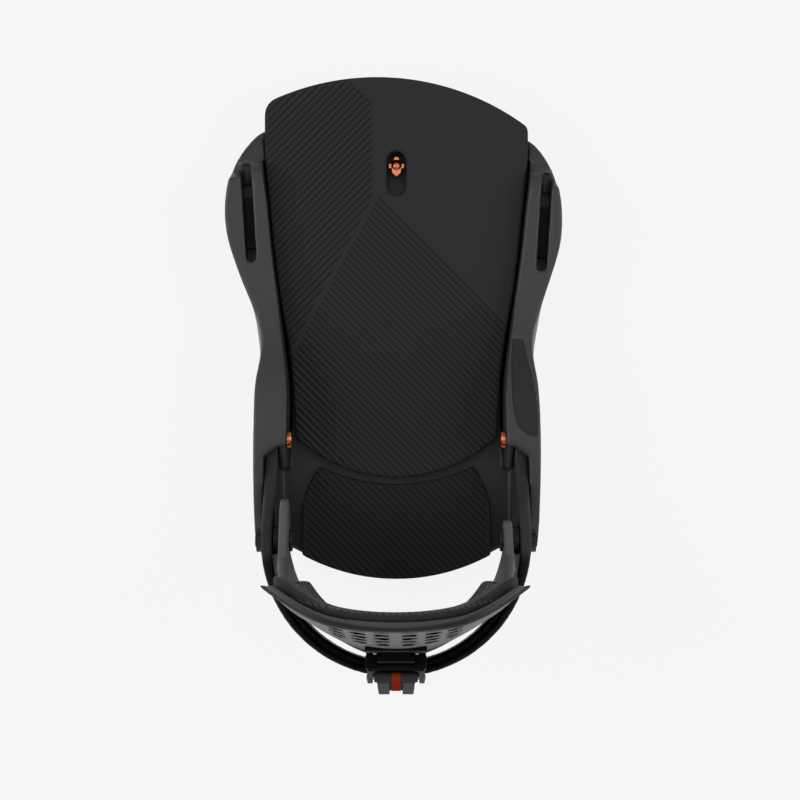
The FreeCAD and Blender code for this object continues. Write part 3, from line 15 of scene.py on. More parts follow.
import bpy
import numpy as np
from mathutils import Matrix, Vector

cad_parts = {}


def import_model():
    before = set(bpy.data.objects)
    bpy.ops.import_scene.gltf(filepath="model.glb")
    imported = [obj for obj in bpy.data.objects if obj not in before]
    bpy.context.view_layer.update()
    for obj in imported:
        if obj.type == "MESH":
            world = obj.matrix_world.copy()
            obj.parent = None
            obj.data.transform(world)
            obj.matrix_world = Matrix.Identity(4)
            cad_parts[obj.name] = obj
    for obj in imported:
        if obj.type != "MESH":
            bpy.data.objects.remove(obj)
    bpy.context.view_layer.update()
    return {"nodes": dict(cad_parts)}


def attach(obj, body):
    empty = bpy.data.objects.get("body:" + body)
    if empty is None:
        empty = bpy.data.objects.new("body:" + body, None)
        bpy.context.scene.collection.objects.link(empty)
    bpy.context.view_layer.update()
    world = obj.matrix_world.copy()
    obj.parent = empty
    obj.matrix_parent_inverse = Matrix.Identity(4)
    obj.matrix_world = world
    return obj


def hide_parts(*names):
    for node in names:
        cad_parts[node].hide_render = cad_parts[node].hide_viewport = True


LOG = logging.getLogger("touring_binding")
MM = 0.001


class Side(Enum):
    """The two sides of the binding, as the sign of X."""

    INNER = -1
    OUTER = 1


def between(value: float, low: float, high: float) -> float:
    """How far a value is from low towards high, kept from 0 to 1."""
    return min(1.0, max(0.0, (value - low) / (high - low)))


# ------------------------------------------------------------------ numbers over a surface


class Numbers:
    """Numbers over a surface: the arithmetic that a shader's fields and a mesh's samples share."""

    def join(self, operation: str, *others: Self | float) -> Self:
        """Does what the math node of that name does."""
        raise NotImplementedError

    def ramp(self, low: float, high: float) -> Self:
        """Rises smoothly from 0 at low to 1 at high, or falls when high is the smaller."""
        raise NotImplementedError

    def __add__(self, other: Self | float) -> Self:
        """Adds."""
        return self.join("ADD", other)

    def __sub__(self, other: Self | float) -> Self:
        """Subtracts."""
        return self.join("SUBTRACT", other)

    def __mul__(self, other: Self | float) -> Self:
        """Multiplies."""
        return self.join("MULTIPLY", other)

    def stripes(self, pitch: float, low: float, high: float) -> Self:
        """Ridges at a pitch: 1 on a ridge, 0 in the groove.

        Args:
            pitch: Distance from ridge to ridge.
            low: Share of the half-pitch, from the groove's middle, where the ridge starts.
            high: Share of the half-pitch where the ridge's top starts.

        Returns:
            The ridges.
        """
        phase = (self * (1 / pitch)).join("FRACT")
        return (phase - 0.5).join("ABSOLUTE").join("MULTIPLY", 2.0).ramp(low, high)


class Field(Numbers):
    """A number at each point of a surface, worked out by shader nodes."""

    def __init__(self, tree: bpy.types.NodeTree, socket: bpy.types.NodeSocket) -> None:
        """Wraps an output socket.

        Args:
            tree: The node tree that the socket is in.
            socket: The output that carries the number.
        """
        self.tree = tree
        self.socket = socket

    def join(self, operation: str, *others: Field | float) -> Field:
        """Feeds this number and others to a math node.

        Args:
            operation: The math node's operation.
            others: Numbers or fields for the node's other inputs.

        Returns:
            The node's result.
        """
        node = self.tree.nodes.new("ShaderNodeMath")
        node.operation = operation
        self.tree.links.new(self.socket, node.inputs[0])
        for place, other in enumerate(others, start=1):
            if isinstance(other, Field):
                self.tree.links.new(other.socket, node.inputs[place])
            else:
                node.inputs[place].default_value = other
        return Field(self.tree, node.outputs[0])

    def ramp(self, low: float, high: float) -> Field:
        """Rises smoothly from 0 to 1, or falls when high is the smaller.

        Args:
            low: The number that gives 0.
            high: The number that gives 1.

        Returns:
            The smooth step.
        """
        node = self.tree.nodes.new("ShaderNodeMapRange")
        node.interpolation_type = "SMOOTHSTEP"
        flipped = high < low
        node.inputs["From Min"].default_value = min(low, high)
        node.inputs["From Max"].default_value = max(low, high)
        node.inputs["To Min"].default_value = 1.0 if flipped else 0.0
        node.inputs["To Max"].default_value = 0.0 if flipped else 1.0
        self.tree.links.new(self.socket, node.inputs["Value"])
        return Field(self.tree, node.outputs["Result"])


class Sample(Numbers):
    """Numbers at many points at once, for shaping a mesh."""

    def __init__(self, values: np.ndarray) -> None:
        """Wraps the numbers."""
        self.values = values

    def join(self, operation: str, *others: Sample | float) -> Sample:
        """Does what the math node of the same name does.

        Args:
            operation: The math node's operation.
            others: The node's other inputs.

        Returns:
            The results.
        """
        other = [o.values if isinstance(o, Sample) else o for o in others]
        results = {
            "ADD": lambda: self.values + other[0],
            "SUBTRACT": lambda: self.values - other[0],
            "MULTIPLY": lambda: self.values * other[0],
            "FRACT": lambda: self.values - np.floor(self.values),
            "ABSOLUTE": lambda: np.abs(self.values),
        }
        return Sample(results[operation]())

    def ramp(self, low: float, high: float) -> Sample:
        """Rises smoothly from 0 at low to 1 at high, or falls when high is the smaller."""
        share = np.clip((self.values - low) / (high - low), 0.0, 1.0)
        return Sample(share * share * (3.0 - 2.0 * share))


# ------------------------------------------------------------------ patterns


@dataclass(frozen=True)
class Grooves:
    """The fine diagonal grooves of the foam. All of them run at 45 degrees.

    Attributes:
        pitch: Distance from ridge to ridge.
        profile: Shares of the half-pitch between which a ridge rises.
        depth: Depth of the moulded grooves.
        crisp: Depth of the bump that sharpens them.
        shade: How much darker a groove is painted, as painted shade in it.
        band: Width of the smooth band between the two grooved areas.
        edge: Distance over which an area fades out.
        toe_field_x: Outer end of the area at the toe.
        corner: The point that the smooth band runs through.
        band_slope: The band's angle, in degrees.
        chamfer: Sum of X and Y where the toe's area is cut off.
        plain_line: Sum of X and Y where the plain area starts.
        heel_border: Distances from the centre line between which the heel's grooves fade out.
    """

    pitch: float = 2.64 * MM
    profile: tuple[float, float] = (0.1, 0.62)
    depth: float = 0.5 * MM
    crisp: float = 0.2 * MM
    shade: float = 0.42
    band: float = 1.8 * MM
    edge: float = 0.5 * MM
    toe_field_x: float = -11.7 * MM
    corner: tuple[float, float] = (-10.1 * MM, 85.2 * MM)
    band_slope: float = 61.5
    chamfer: float = 119.6 * MM
    plain_line: float = 76.5 * MM
    heel_border: tuple[float, float] = (44.6 * MM, 44.0 * MM)

    def footbed(self, x: Numbers, y: Numbers) -> tuple[Numbers, Numbers]:
        """Ridges of the footbed and where they are.

        Args:
            x: Across the foot.
            y: Along the foot.

        Returns:
            The ridges, and a mask of the grooved areas.
        """
        root = math.sqrt(0.5)
        rising = (y - x).join("MULTIPLY", root).stripes(self.pitch, *self.profile)
        falling = (y + x).join("MULTIPLY", root).stripes(self.pitch, *self.profile)
        turn = math.radians(self.band_slope)
        cx, cy = self.corner
        across = (x - cx) * math.sin(turn) - (y - cy) * math.cos(turn)
        toe_area = across.ramp(-self.band / 2, -self.band / 2 - self.edge)
        toe_area = toe_area * x.ramp(self.toe_field_x, self.toe_field_x - self.edge)
        toe_area = toe_area * (y + x).ramp(self.chamfer, self.chamfer - self.edge)
        rear_area = across.ramp(self.band / 2, self.band / 2 + self.edge)
        rear_area = rear_area * (y + x).ramp(self.plain_line + self.edge, self.plain_line)
        return rising * toe_area + falling * rear_area, toe_area + rear_area

    def heel(self, x: Numbers, y: Numbers) -> tuple[Numbers, Numbers]:
        """Ridges of the heel pad and where they are: all over, short of a smooth border.

        Args:
            x: Across the foot.
            y: Along the foot.

        Returns:
            The ridges, and a mask of the grooved area.
        """
        falling = (y + x).join("MULTIPLY", math.sqrt(0.5))
        border = x.join("ABSOLUTE").ramp(*self.heel_border)
        return falling.stripes(self.pitch, *self.profile), border

    def marks(self, ridges: Field, mask: Field) -> tuple[Field, Field]:
        """Height of the bump in metres, and the share of the colour that the grooves leave, as
        painted shade in them.
        """
        hollow = (ridges - 1.0) * mask
        return hollow * self.crisp, hollow * self.shade + 1.0


@dataclass(frozen=True)
class Quilt:
    """Sewn dashes over the back pad, with one row of stitches along its front edge.

    Attributes:
        row: Pitch of the rows, and the shares between which a row rises.
        dash: Pitch of the dashes along a row, and their shares.
        shift: How far each pair of rows is shifted from the last.
        under: Distances under the outline between which the dashes set in.
        stitch: Pitch of the stitches, and their shares.
        slant: How far a stitch leans.
        stitch_top: Distances under the outline between which the stitches set in.
        stitch_rear: Distances ahead of the pad's edge between which they start.
        stitch_front: Distances ahead of it between which they end.
        relief: Height of a dash.
        stitch_relief: Height of a stitch.
        light: How much lighter a dash is.
        stitch_light: How much lighter a stitch is.
        ground: Share of the colour between them.
    """

    row: tuple[float, float, float] = (5.2 * MM, 0.35, 0.8)
    dash: tuple[float, float, float] = (7.6 * MM, 0.3, 0.6)
    shift: float = 3.4 * MM
    under: tuple[float, float] = (6.5 * MM, 8.0 * MM)
    stitch: tuple[float, float, float] = (2.5 * MM, 0.25, 0.6)
    slant: float = 0.8
    stitch_top: tuple[float, float] = (3.2 * MM, 2.2 * MM)
    stitch_rear: tuple[float, float] = (-1.7 * MM, -1.1 * MM)
    stitch_front: tuple[float, float] = (0.2 * MM, -0.3 * MM)
    relief: float = 0.35 * MM
    stitch_relief: float = 0.2 * MM
    light: float = 0.25
    stitch_light: float = 0.9
    ground: float = 0.85


@dataclass(frozen=True)
class Backrest:
    """The highback's outline, as its shell and its pad share it.

    Attributes:
        pad_top: Height of the pad's top on the centre line.
        shell_top: Height of the shell's top on the centre line.
        droop: How fast the outline falls away from it, per metre of distance squared.
        front: Station of the pad's front edge at its top, on the centre line.
        bow: How fast that edge comes forward, per metre of distance squared.
        rim_front: Station of the rim's front edge on the centre line.
        rim_bow: How fast that edge comes forward.
        rim_fade: Distances ahead of that edge between which the rim's painted light changes from
            shade to highlight.
        rim_rear: Share of the colour on the rim's rear side, as painted shade.
        rim_gain: How much larger the share is on its front side, as a painted highlight.
        curl: How far the upper corners curl forward.
        fatten: How much thicker the pad is there.
        curl_x: Distances from the centre line between which the curl sets in.
        curl_z: Heights between which it sets in.
        quilt: The pad's sewing.
    """

    pad_top: float = 228.5 * MM
    shell_top: float = 232.0 * MM
    droop: float = 9.7
    front: float = -91.9 * MM
    bow: float = 2.4
    rim_front: float = -96.2 * MM
    rim_bow: float = 3.77
    rim_fade: tuple[float, float] = (-2.3 * MM, -0.3 * MM)
    rim_rear: float = 0.4
    rim_gain: float = 1.5
    curl: float = 3.4 * MM
    fatten: float = 4.0 * MM
    curl_x: tuple[float, float] = (22.0 * MM, 50.0 * MM)
    curl_z: tuple[float, float] = (172.0 * MM, 206.0 * MM)
    quilt: Quilt = Quilt()

    def sewing(self, x: Field, y: Field, z: Field) -> tuple[Field, Field]:
        """Sewn dashes over the pad, with one row of stitches along its outline.

        Args:
            x: Across the foot.
            y: Along the foot.
            z: Height.

        Returns:
            Height of the relief in metres, and the share of the colour that it leaves.
        """
        quilt = self.quilt
        level = x * x * self.droop + z
        shift = (z * (1 / (2 * quilt.row[0]))).join("FLOOR") * quilt.shift
        below = level.ramp(*(self.pad_top - depth for depth in quilt.under))
        dashes = z.stripes(*quilt.row) * (x + shift).stripes(*quilt.dash) * below
        top = level.ramp(*(self.pad_top - depth for depth in quilt.stitch_top))
        ahead = y - x * x * self.bow - self.front
        edge = ahead.ramp(*quilt.stitch_rear) * ahead.ramp(*quilt.stitch_front) * top
        stitches = (x + y * quilt.slant).stripes(*quilt.stitch) * edge
        height = dashes * quilt.relief + stitches * quilt.stitch_relief
        return height, dashes * quilt.light + stitches * quilt.stitch_light + quilt.ground

    def rim_painted_light(self, x: Field, y: Field) -> Field:
        """The share of the rim's colour: painted shade on its rear side and a painted highlight on
        its front side.

        Args:
            x: Across the foot.
            y: Along the foot.

        Returns:
            The share.
        """
        curl = x.join("ABSOLUTE").ramp(*self.curl_x) * self.curl
        ahead = y - x * x * self.rim_bow - curl - self.rim_front
        return ahead.ramp(*self.rim_fade) * self.rim_gain + self.rim_rear

    def forward(self, point: Vector) -> tuple[float, float]:
        """How far the upper corners curl forward at a point, and how much the pad thickens.

        Args:
            point: A point of the shell or of the pad.

        Returns:
            The curl, and the thickening.
        """
        across = between(abs(point.x), *self.curl_x)
        high = between(point.z, *self.curl_z)
        share = across * across * (3 - 2 * across) * high * high * (3 - 2 * high)
        return self.curl * share, self.fatten * share

    def rim_distance(self, point: Vector) -> float:
        """How far a point of the shell lies below its outline."""
        return self.shell_top - self.droop * point.x ** 2 - point.z

    def pad_distance(self, point: Vector) -> float:
        """How far a point of the pad lies below its outline."""
        return self.pad_top - self.droop * point.x ** 2 - point.z


@dataclass(frozen=True)
class FloorPaintedShade:
    """The chassis's colours: painted shade on the floor between the rails, and a painted shadow
    along the footbed's rear edge.

    Attributes:
        wall: Distances from the centre line between which the rails' full colour sets in.
        lit: Heights between which it sets in.
        deep: Share of the colour on the floor, as painted shade.
        centre_y: Centre of the footbed's round rear edge.
        radius: Its radius.
        width: Width of the painted shadow under the footbed's rear edge.
        inner_fade: Distance over which the painted shadow sets in at that edge.
        outer_fade: Distance over which it fades out behind it.
        dark: Share of the colour that the painted shadow keeps.
        front: Station that it ends at.
        front_fade: Distance over which it ends there.
        above: Height over which there is none.
        above_fade: Height over which it ends there.
    """

    wall: tuple[float, float] = (54.0 * MM, 56.0 * MM)
    lit: tuple[float, float] = (19.0 * MM, 24.0 * MM)
    deep: float = 0.26
    centre_y: float = 21.5 * MM
    radius: float = 71.8 * MM
    width: float = 2.3 * MM
    inner_fade: float = 0.6 * MM
    outer_fade: float = 1.2 * MM
    dark: float = 0.12
    front: float = -27.0 * MM
    front_fade: float = 4.0 * MM
    above: float = 21.0 * MM
    above_fade: float = 1.0 * MM

    def shade(self, x: Field, y: Field, z: Field) -> Field:
        """The share of the colour at a place on the chassis, with the painted shade and the
        painted shadow in it.

        Args:
            x: Across the foot.
            y: Along the foot.
            z: Height.

        Returns:
            The share.
        """
        # painted shade: the floor between the rails gets less of the colour than the rails
        rails = x.join("ABSOLUTE").ramp(*self.wall)
        floor = z.ramp(*self.lit).join("MAXIMUM", rails) * (1.0 - self.deep) + self.deep
        # painted shadow: a dark band on the floor along the footbed's round rear edge
        along = y - self.centre_y
        reach = (x * x + along * along).join("POWER", 0.5) - self.radius
        band = reach.ramp(self.width + self.outer_fade, self.width)
        band = band * reach.ramp(-self.inner_fade, 0.0)
        band = band * y.ramp(self.front, self.front - self.front_fade)
        band = band * z.ramp(self.above, self.above - self.above_fade)
        return floor * (band * (self.dark - 1.0) + 1.0)


@dataclass(frozen=True)
class HoopTrim:
    """The hoop's colours: bare along its outer edge, dark inside it at the rear.

    Attributes:
        centre_y: Centre of the hoop's outer round.
        edge: Distance from the centre where the bare edge starts.
        edge_fade: Distance over which it starts.
        rear: Station behind which the inside is dark.
        rear_fade: Distance over which it becomes dark.
        dark: Share of the colour that the dark inside keeps.
    """

    centre_y: float = -75.4 * MM
    edge: float = 61.3 * MM
    edge_fade: float = 0.5 * MM
    rear: float = -80.0 * MM
    rear_fade: float = 8.0 * MM
    dark: float = 0.06

    def shade(self, x: Field, y: Field) -> Field:
        """The share of the colour at a place on the hoop.

        Args:
            x: Across the foot.
            y: Along the foot.

        Returns:
            The share.
        """
        along = y - self.centre_y
        reach = (x * x + along * along).join("POWER", 0.5)
        inside = reach.ramp(self.edge, self.edge - self.edge_fade)
        inside = inside * y.ramp(self.rear, self.rear - self.rear_fade)
        return inside * (self.dark - 1.0) + 1.0


@dataclass(frozen=True)
class Speckle:
    """A fine all-over texture.

    Attributes:
        scale: Its spots to the metre.
        detail: Its octaves.
        depth: Height of its bump.
        contrast: How far it moves the colour.
        mean: Mean share of the colour.
    """

    scale: float
    detail: float
    depth: float
    contrast: float
    mean: float


GROOVES = Grooves()
BACKREST = Backrest()
HOOP_TRIM = HoopTrim()
FLOOR_PAINTED_SHADE = FloorPaintedShade()
LEATHER = Speckle(620.0, 4.0, 0.25 * MM, 3.2, 1.3)
BRUSHING = Speckle(900.0, 2.0, 0.01 * MM, 0.1, 1.0)
WANDER = Speckle(38.0, 4.0, 0.0, 0.1, 0.0)          # the slow change of a finish over a piece
GRAIN_DETAIL = 3.0
GRAIN_ROUGHNESS = 0.12                              # how far the grain moves the roughness
SMOOTHEST = 0.08


# ------------------------------------------------------------------ finishes


@dataclass(frozen=True)
class Tone:
    """A colour as a screen shows it, from 0 to 255."""

    red: float
    green: float
    blue: float

    @property
    def linear(self) -> tuple[float, ...]:
        """The colour in linear light, by the curve that screens use."""
        return tuple((c / 255) / 12.92 if c <= 10.31 else ((c / 255 + 0.055) / 1.055) ** 2.4
                     for c in (self.red, self.green, self.blue))


class Pattern(Enum):
    """The relief or shading that a finish carries besides its grain."""

    PLAIN = "plain"
    FOOTBED = "footbed"
    HEEL = "heel"
    QUILT = "quilt"
    BRUSHED = "brushed"
    CHASSIS = "chassis"
    HOOP = "hoop"
    LEATHER = "leather"
    RIM = "rim"


@dataclass(frozen=True)
class Finish:
    """A surface finish.

    Attributes:
        name: The material's name.
        tone: Its colour.
        roughness: Its mean roughness.
        specular: Its specular level.
        metallic: Whether it is bare or anodised metal.
        grain: Size of the moulded or blasted grain.
        depth: Depth of the grain's bump.
        mottle: How far the colour wanders, as a share.
        sheen: Weight of a cloth sheen.
        pattern: What it carries besides the grain.
    """

    name: str
    tone: Tone
    roughness: float = 0.5
    specular: float = 0.5
    metallic: float = 0.0
    grain: float = 0.6 * MM
    depth: float = 0.03 * MM
    mottle: float = 0.06
    sheen: float = 0.0
    pattern: Pattern = Pattern.PLAIN

    def build(self) -> bpy.types.Material:
        """Makes the material.

        Returns:
            The new material.
        """
        material = bpy.data.materials.new(self.name)
        material.use_nodes = True
        tree = material.node_tree
        shader = tree.nodes["Principled BSDF"]
        shader.inputs["Metallic"].default_value = self.metallic
        shader.inputs["Specular IOR Level"].default_value = self.specular
        shader.inputs["Sheen Weight"].default_value = self.sheen
        place = tree.nodes.new("ShaderNodeTexCoord").outputs["Object"]
        grain = self._noise(tree, place, 1 / self.grain, GRAIN_DETAIL)
        wander = self._noise(tree, place, WANDER.scale, WANDER.detail)
        height = grain * self.depth
        shade = (wander - 0.5) * (2 * self.mottle) + 1.0
        relief, hollow = self._relief(tree, place)
        if relief is not None:
            height = height + relief
        if hollow is not None:
            shade = shade * hollow
        self._paint(tree, shader, shade)
        rough = (grain - 0.5) * GRAIN_ROUGHNESS + (wander - 0.5) * WANDER.contrast + self.roughness
        tree.links.new(rough.join("MAXIMUM", SMOOTHEST).socket, shader.inputs["Roughness"])
        bump = tree.nodes.new("ShaderNodeBump")
        bump.inputs["Distance"].default_value = 1.0
        tree.links.new(height.socket, bump.inputs["Height"])
        tree.links.new(bump.outputs["Normal"], shader.inputs["Normal"])
        return material

    def _noise(self, tree: bpy.types.NodeTree, place: bpy.types.NodeSocket, scale: float,
               detail: float) -> Field:
        """A noise over the surface.

        Args:
            tree: The material's nodes.
            place: Object coordinates.
            scale: Its spots to the metre.
            detail: Its octaves.

        Returns:
            The noise, from 0 to 1.
        """
        node = tree.nodes.new("ShaderNodeTexNoise")
        node.inputs["Scale"].default_value = scale
        node.inputs["Detail"].default_value = detail
        tree.links.new(place, node.inputs["Vector"])
        return Field(tree, node.outputs["Fac"])

    def _paint(self, tree: bpy.types.NodeTree, shader: bpy.types.Node, shade: Field) -> None:
        """Colours the shader by a share of the finish's tone.

        Args:
            tree: The material's nodes.
            shader: The shader to colour.
            shade: The share.
        """
        scale = tree.nodes.new("ShaderNodeVectorMath")
        scale.operation = "SCALE"
        scale.inputs[0].default_value = self.tone.linear
        tree.links.new(shade.socket, scale.inputs["Scale"])
        tree.links.new(scale.outputs[0], shader.inputs["Base Color"])

    def _relief(self, tree: bpy.types.NodeTree,
                place: bpy.types.NodeSocket) -> tuple[Field | None, Field | None]:
        """The pattern's height in metres, and the share of the colour that it leaves.

        Args:
            tree: The material's nodes.
            place: Object coordinates.

        Returns:
            Height and colour share, each None where the pattern has none.
        """
        if self.pattern is Pattern.PLAIN:
            return None, None
        if self.pattern in (Pattern.LEATHER, Pattern.BRUSHED):
            speckle = LEATHER if self.pattern is Pattern.LEATHER else BRUSHING
            spots = self._noise(tree, place, speckle.scale, speckle.detail)
            return spots * speckle.depth, (spots - 0.5) * speckle.contrast + speckle.mean
        split = tree.nodes.new("ShaderNodeSeparateXYZ")
        tree.links.new(place, split.inputs[0])
        x, y, z = (Field(tree, split.outputs[i]) for i in range(3))
        if self.pattern is Pattern.FOOTBED:
            return GROOVES.marks(*GROOVES.footbed(x, y))
        if self.pattern is Pattern.HEEL:
            return GROOVES.marks(*GROOVES.heel(x, y))
        if self.pattern is Pattern.QUILT:
            return BACKREST.sewing(x, y, z)
        if self.pattern is Pattern.CHASSIS:
            return None, FLOOR_PAINTED_SHADE.shade(x, y, z)
        if self.pattern is Pattern.RIM:
            return None, BACKREST.rim_painted_light(x, y)
        return None, HOOP_TRIM.shade(x, y)


@dataclass(frozen=True)
class Palette:
    """The binding's finishes."""

    # its pattern paints shade on the floor between the rails and a shadow under the footbed's rear
    # edge
    chassis: Finish = Finish("moulded_chassis", Tone(49, 49, 50), 0.46, 0.42, grain=0.5 * MM,
                             depth=0.02 * MM, pattern=Pattern.CHASSIS)
    trim: Finish = Finish("soft_black_trim", Tone(20, 20, 21), 0.5, 0.3)
    black: Finish = Finish("black_oxide", Tone(16, 16, 17), 0.42, 0.35, grain=0.4 * MM,
                           depth=0.01 * MM)
    inlay: Finish = Finish("rail_inlay_panel", Tone(33, 33, 34), 0.6, 0.3)
    foam: Finish = Finish("grooved_footbed_foam", Tone(46, 46, 47), 0.78, 0.14, grain=0.4 * MM,
                          pattern=Pattern.FOOTBED)
    heel: Finish = Finish("grooved_heel_foam", Tone(43, 43, 44), 0.8, 0.12, grain=0.4 * MM,
                          pattern=Pattern.HEEL)
    shell: Finish = Finish("highback_shell_plastic", Tone(84, 84, 85), 0.48, 0.25)
    # the rim's pattern paints a highlight on its front side and shade on its rear side
    rim: Finish = Finish("highback_rim_rubber", Tone(50, 50, 51), 0.5, 0.15, pattern=Pattern.RIM)
    pad: Finish = Finish("quilted_back_pad", Tone(51, 51, 52), 0.85, 0.15, grain=0.5 * MM,
                         depth=0.05 * MM, sheen=0.1, pattern=Pattern.QUILT)
    liner: Finish = Finish("black_hoop_lining", Tone(17, 17, 17), 0.8, 0.0, grain=0.8 * MM,
                           depth=0.05 * MM, pattern=Pattern.LEATHER)
    stop: Finish = Finish("black_stop_nylon", Tone(9, 9, 9), 0.5, 0.04)
    leaf: Finish = Finish("copper_coated_leaf", Tone(126, 44, 26), 0.6, 0.0, grain=0.4 * MM,
                          depth=0.01 * MM)
    # painted shade for the insides of the highback's windows
    window_shade: Finish = Finish("dark_recess", Tone(14, 14, 14), 0.8, 0.0)
    anchor: Finish = Finish("anchor_nylon", Tone(42, 42, 43), 0.6, 0.1, pattern=Pattern.BRUSHED)
    boss: Finish = Finish("bare_boss_nylon", Tone(78, 78, 78), 0.6, 0.1)
    hoop: Finish = Finish("hoop_nylon", Tone(50, 50, 51), 0.5, 0.12, pattern=Pattern.HOOP)
    lever: Finish = Finish("lever_nylon", Tone(44, 44, 44), 0.55, 0.12)
    rubber: Finish = Finish("rubber_feet", Tone(22, 22, 22), 0.8, 0.2, depth=0.05 * MM)
    copper: Finish = Finish("copper_anodising", Tone(214, 126, 88), 0.24, metallic=1.0,
                            grain=0.3 * MM, depth=0.006 * MM, pattern=Pattern.BRUSHED)
    alloy: Finish = Finish("dark_anodised_alloy", Tone(86, 86, 88), 0.38, metallic=1.0,
                           grain=0.3 * MM, depth=0.008 * MM, pattern=Pattern.BRUSHED)
    steel: Finish = Finish("zinc_plated_steel", Tone(150, 150, 152), 0.32, metallic=1.0,
                           grain=0.3 * MM, depth=0.006 * MM, pattern=Pattern.BRUSHED)
    bushing: Finish = Finish("bearing_bronze", Tone(176, 138, 84), 0.35, metallic=1.0,
                             grain=0.3 * MM, depth=0.006 * MM, pattern=Pattern.BRUSHED)


# ------------------------------------------------------------------ workbench


class Bench:
    """Modelling by hand: each method selects and then runs operators."""

    @staticmethod
    def clear() -> None:
        """Leaves edit mode and deselects everything."""
        if bpy.context.object and bpy.context.object.mode != "OBJECT":
            bpy.ops.object.mode_set(mode="OBJECT")
        bpy.ops.object.select_all(action="DESELECT")

    @staticmethod
    def take(piece: bpy.types.Object) -> None:
        """Makes a piece the only one selected, and active.

        Args:
            piece: The piece.
        """
        Bench.clear()
        piece.select_set(True)
        bpy.context.view_layer.objects.active = piece

    @staticmethod
    def copy_of(node: str, name: str) -> bpy.types.Object:
        """A free copy of a frame node, with its loose triangles merged.

        Args:
            node: The node's name.
            name: The copy's name.

        Returns:
            The copy, active and selected.
        """
        source = bpy.data.objects[node]
        piece = source.copy()
        piece.data = source.data.copy()
        piece.name = name
        piece.parent = None
        for key in list(piece.keys()):
            del piece[key]
        piece.data.materials.clear()
        bpy.context.scene.collection.objects.link(piece)
        Bench.edit(piece)
        bpy.ops.mesh.remove_doubles(threshold=0.01 * MM)
        bpy.ops.mesh.customdata_custom_splitnormals_clear()
        bpy.ops.object.mode_set(mode="OBJECT")
        return piece

    @staticmethod
    def block(name: str, cuts: int, place: Callable[[Vector], Vector], bevel: float,
              segments: int) -> bpy.types.Object:
        """A subdivided cube, put in shape by a function and then bevelled.

        Args:
            name: The piece's name.
            cuts: How often each of the cube's edges is cut.
            place: Says where a point of the unit cube goes.
            bevel: Width of the bevel.
            segments: Its segments.

        Returns:
            The block.
        """
        Bench.clear()
        bpy.ops.mesh.primitive_cube_add(size=1.0)
        piece = bpy.context.object
        piece.name = name
        Bench.edit(piece)
        bpy.ops.mesh.subdivide(number_cuts=cuts)
        bpy.ops.object.mode_set(mode="OBJECT")
        Bench.shape(piece, place)
        Bench.edit(piece)
        bpy.ops.mesh.select_mode(type="EDGE")
        bpy.ops.mesh.bevel(offset=bevel, segments=segments)
        bpy.ops.object.mode_set(mode="OBJECT")
        Bench.smooth(piece, 40)
        return piece

    @staticmethod
    def edit(piece: bpy.types.Object) -> None:
        """Opens a piece in edit mode with all of it selected.

        Args:
            piece: The mesh.
        """
        Bench.take(piece)
        bpy.ops.object.mode_set(mode="EDIT")
        bpy.ops.mesh.select_all(action="SELECT")

    @staticmethod
    def select_faces(piece: bpy.types.Object,
                     test: Callable[[bpy.types.MeshPolygon], bool]) -> None:
        """Selects the faces that pass a test, and opens edit mode on faces.

        Args:
            piece: The mesh.
            test: Takes a face and says whether it is wanted.
        """
        Bench.edit(piece)
        bpy.ops.mesh.select_mode(type="FACE")
        bpy.ops.mesh.select_all(action="DESELECT")
        bpy.ops.object.mode_set(mode="OBJECT")
        for face in piece.data.polygons:
            face.select = test(face)
        bpy.ops.object.mode_set(mode="EDIT")

    @staticmethod
    def modify(piece: bpy.types.Object, kind: str, **settings: object) -> None:
        """Adds a modifier, sets it and applies it.

        Args:
            piece: The mesh.
            kind: The modifier's type.
            settings: Its properties.
        """
        Bench.take(piece)
        bpy.ops.object.modifier_add(type=kind)
        modifier = piece.modifiers[-1]
        for key, value in settings.items():
            setattr(modifier, key, value)
        bpy.ops.object.modifier_apply(modifier=modifier.name)

    @staticmethod
    def shape(piece: bpy.types.Object, move: Callable[[Vector], Vector]) -> None:
        """Moves each vertex to where a function says."""
        for vertex in piece.data.vertices:
            vertex.co = move(vertex.co)
        piece.data.update()

    @staticmethod
    def facing(piece: bpy.types.Object) -> list[tuple[bpy.types.MeshVertex, Vector]]:
        """The vertices, each with its normal as it is before any of them moves."""
        return [(vertex, vertex.normal.copy()) for vertex in piece.data.vertices]

    @staticmethod
    def smooth(piece: bpy.types.Object, angle: float) -> None:
        """Shades a piece smooth, with edges sharper than an angle in degrees kept."""
        Bench.take(piece)
        bpy.ops.object.shade_smooth_by_angle(angle=math.radians(angle))

    @staticmethod
    def dress(piece: bpy.types.Object, material: bpy.types.Material) -> None:
        """Gives a piece one material."""
        piece.data.materials.clear()
        piece.data.materials.append(material)

    @staticmethod
    def mount(piece: bpy.types.Object, body: str, slot: str, node: str | None = None) -> None:
        """Puts a finished piece in the frame and reports it.

        Args:
            piece: The piece.
            body: The body that it rides on.
            slot: The record's material slot; not used.
            node: The frame's solid that it stands for, if any.
        """
        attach(piece, body)
        if node is not None:
            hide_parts(node)
        LOG.info("%s: %d faces", piece.name, len(piece.data.polygons))


# ------------------------------------------------------------------ moulded pieces


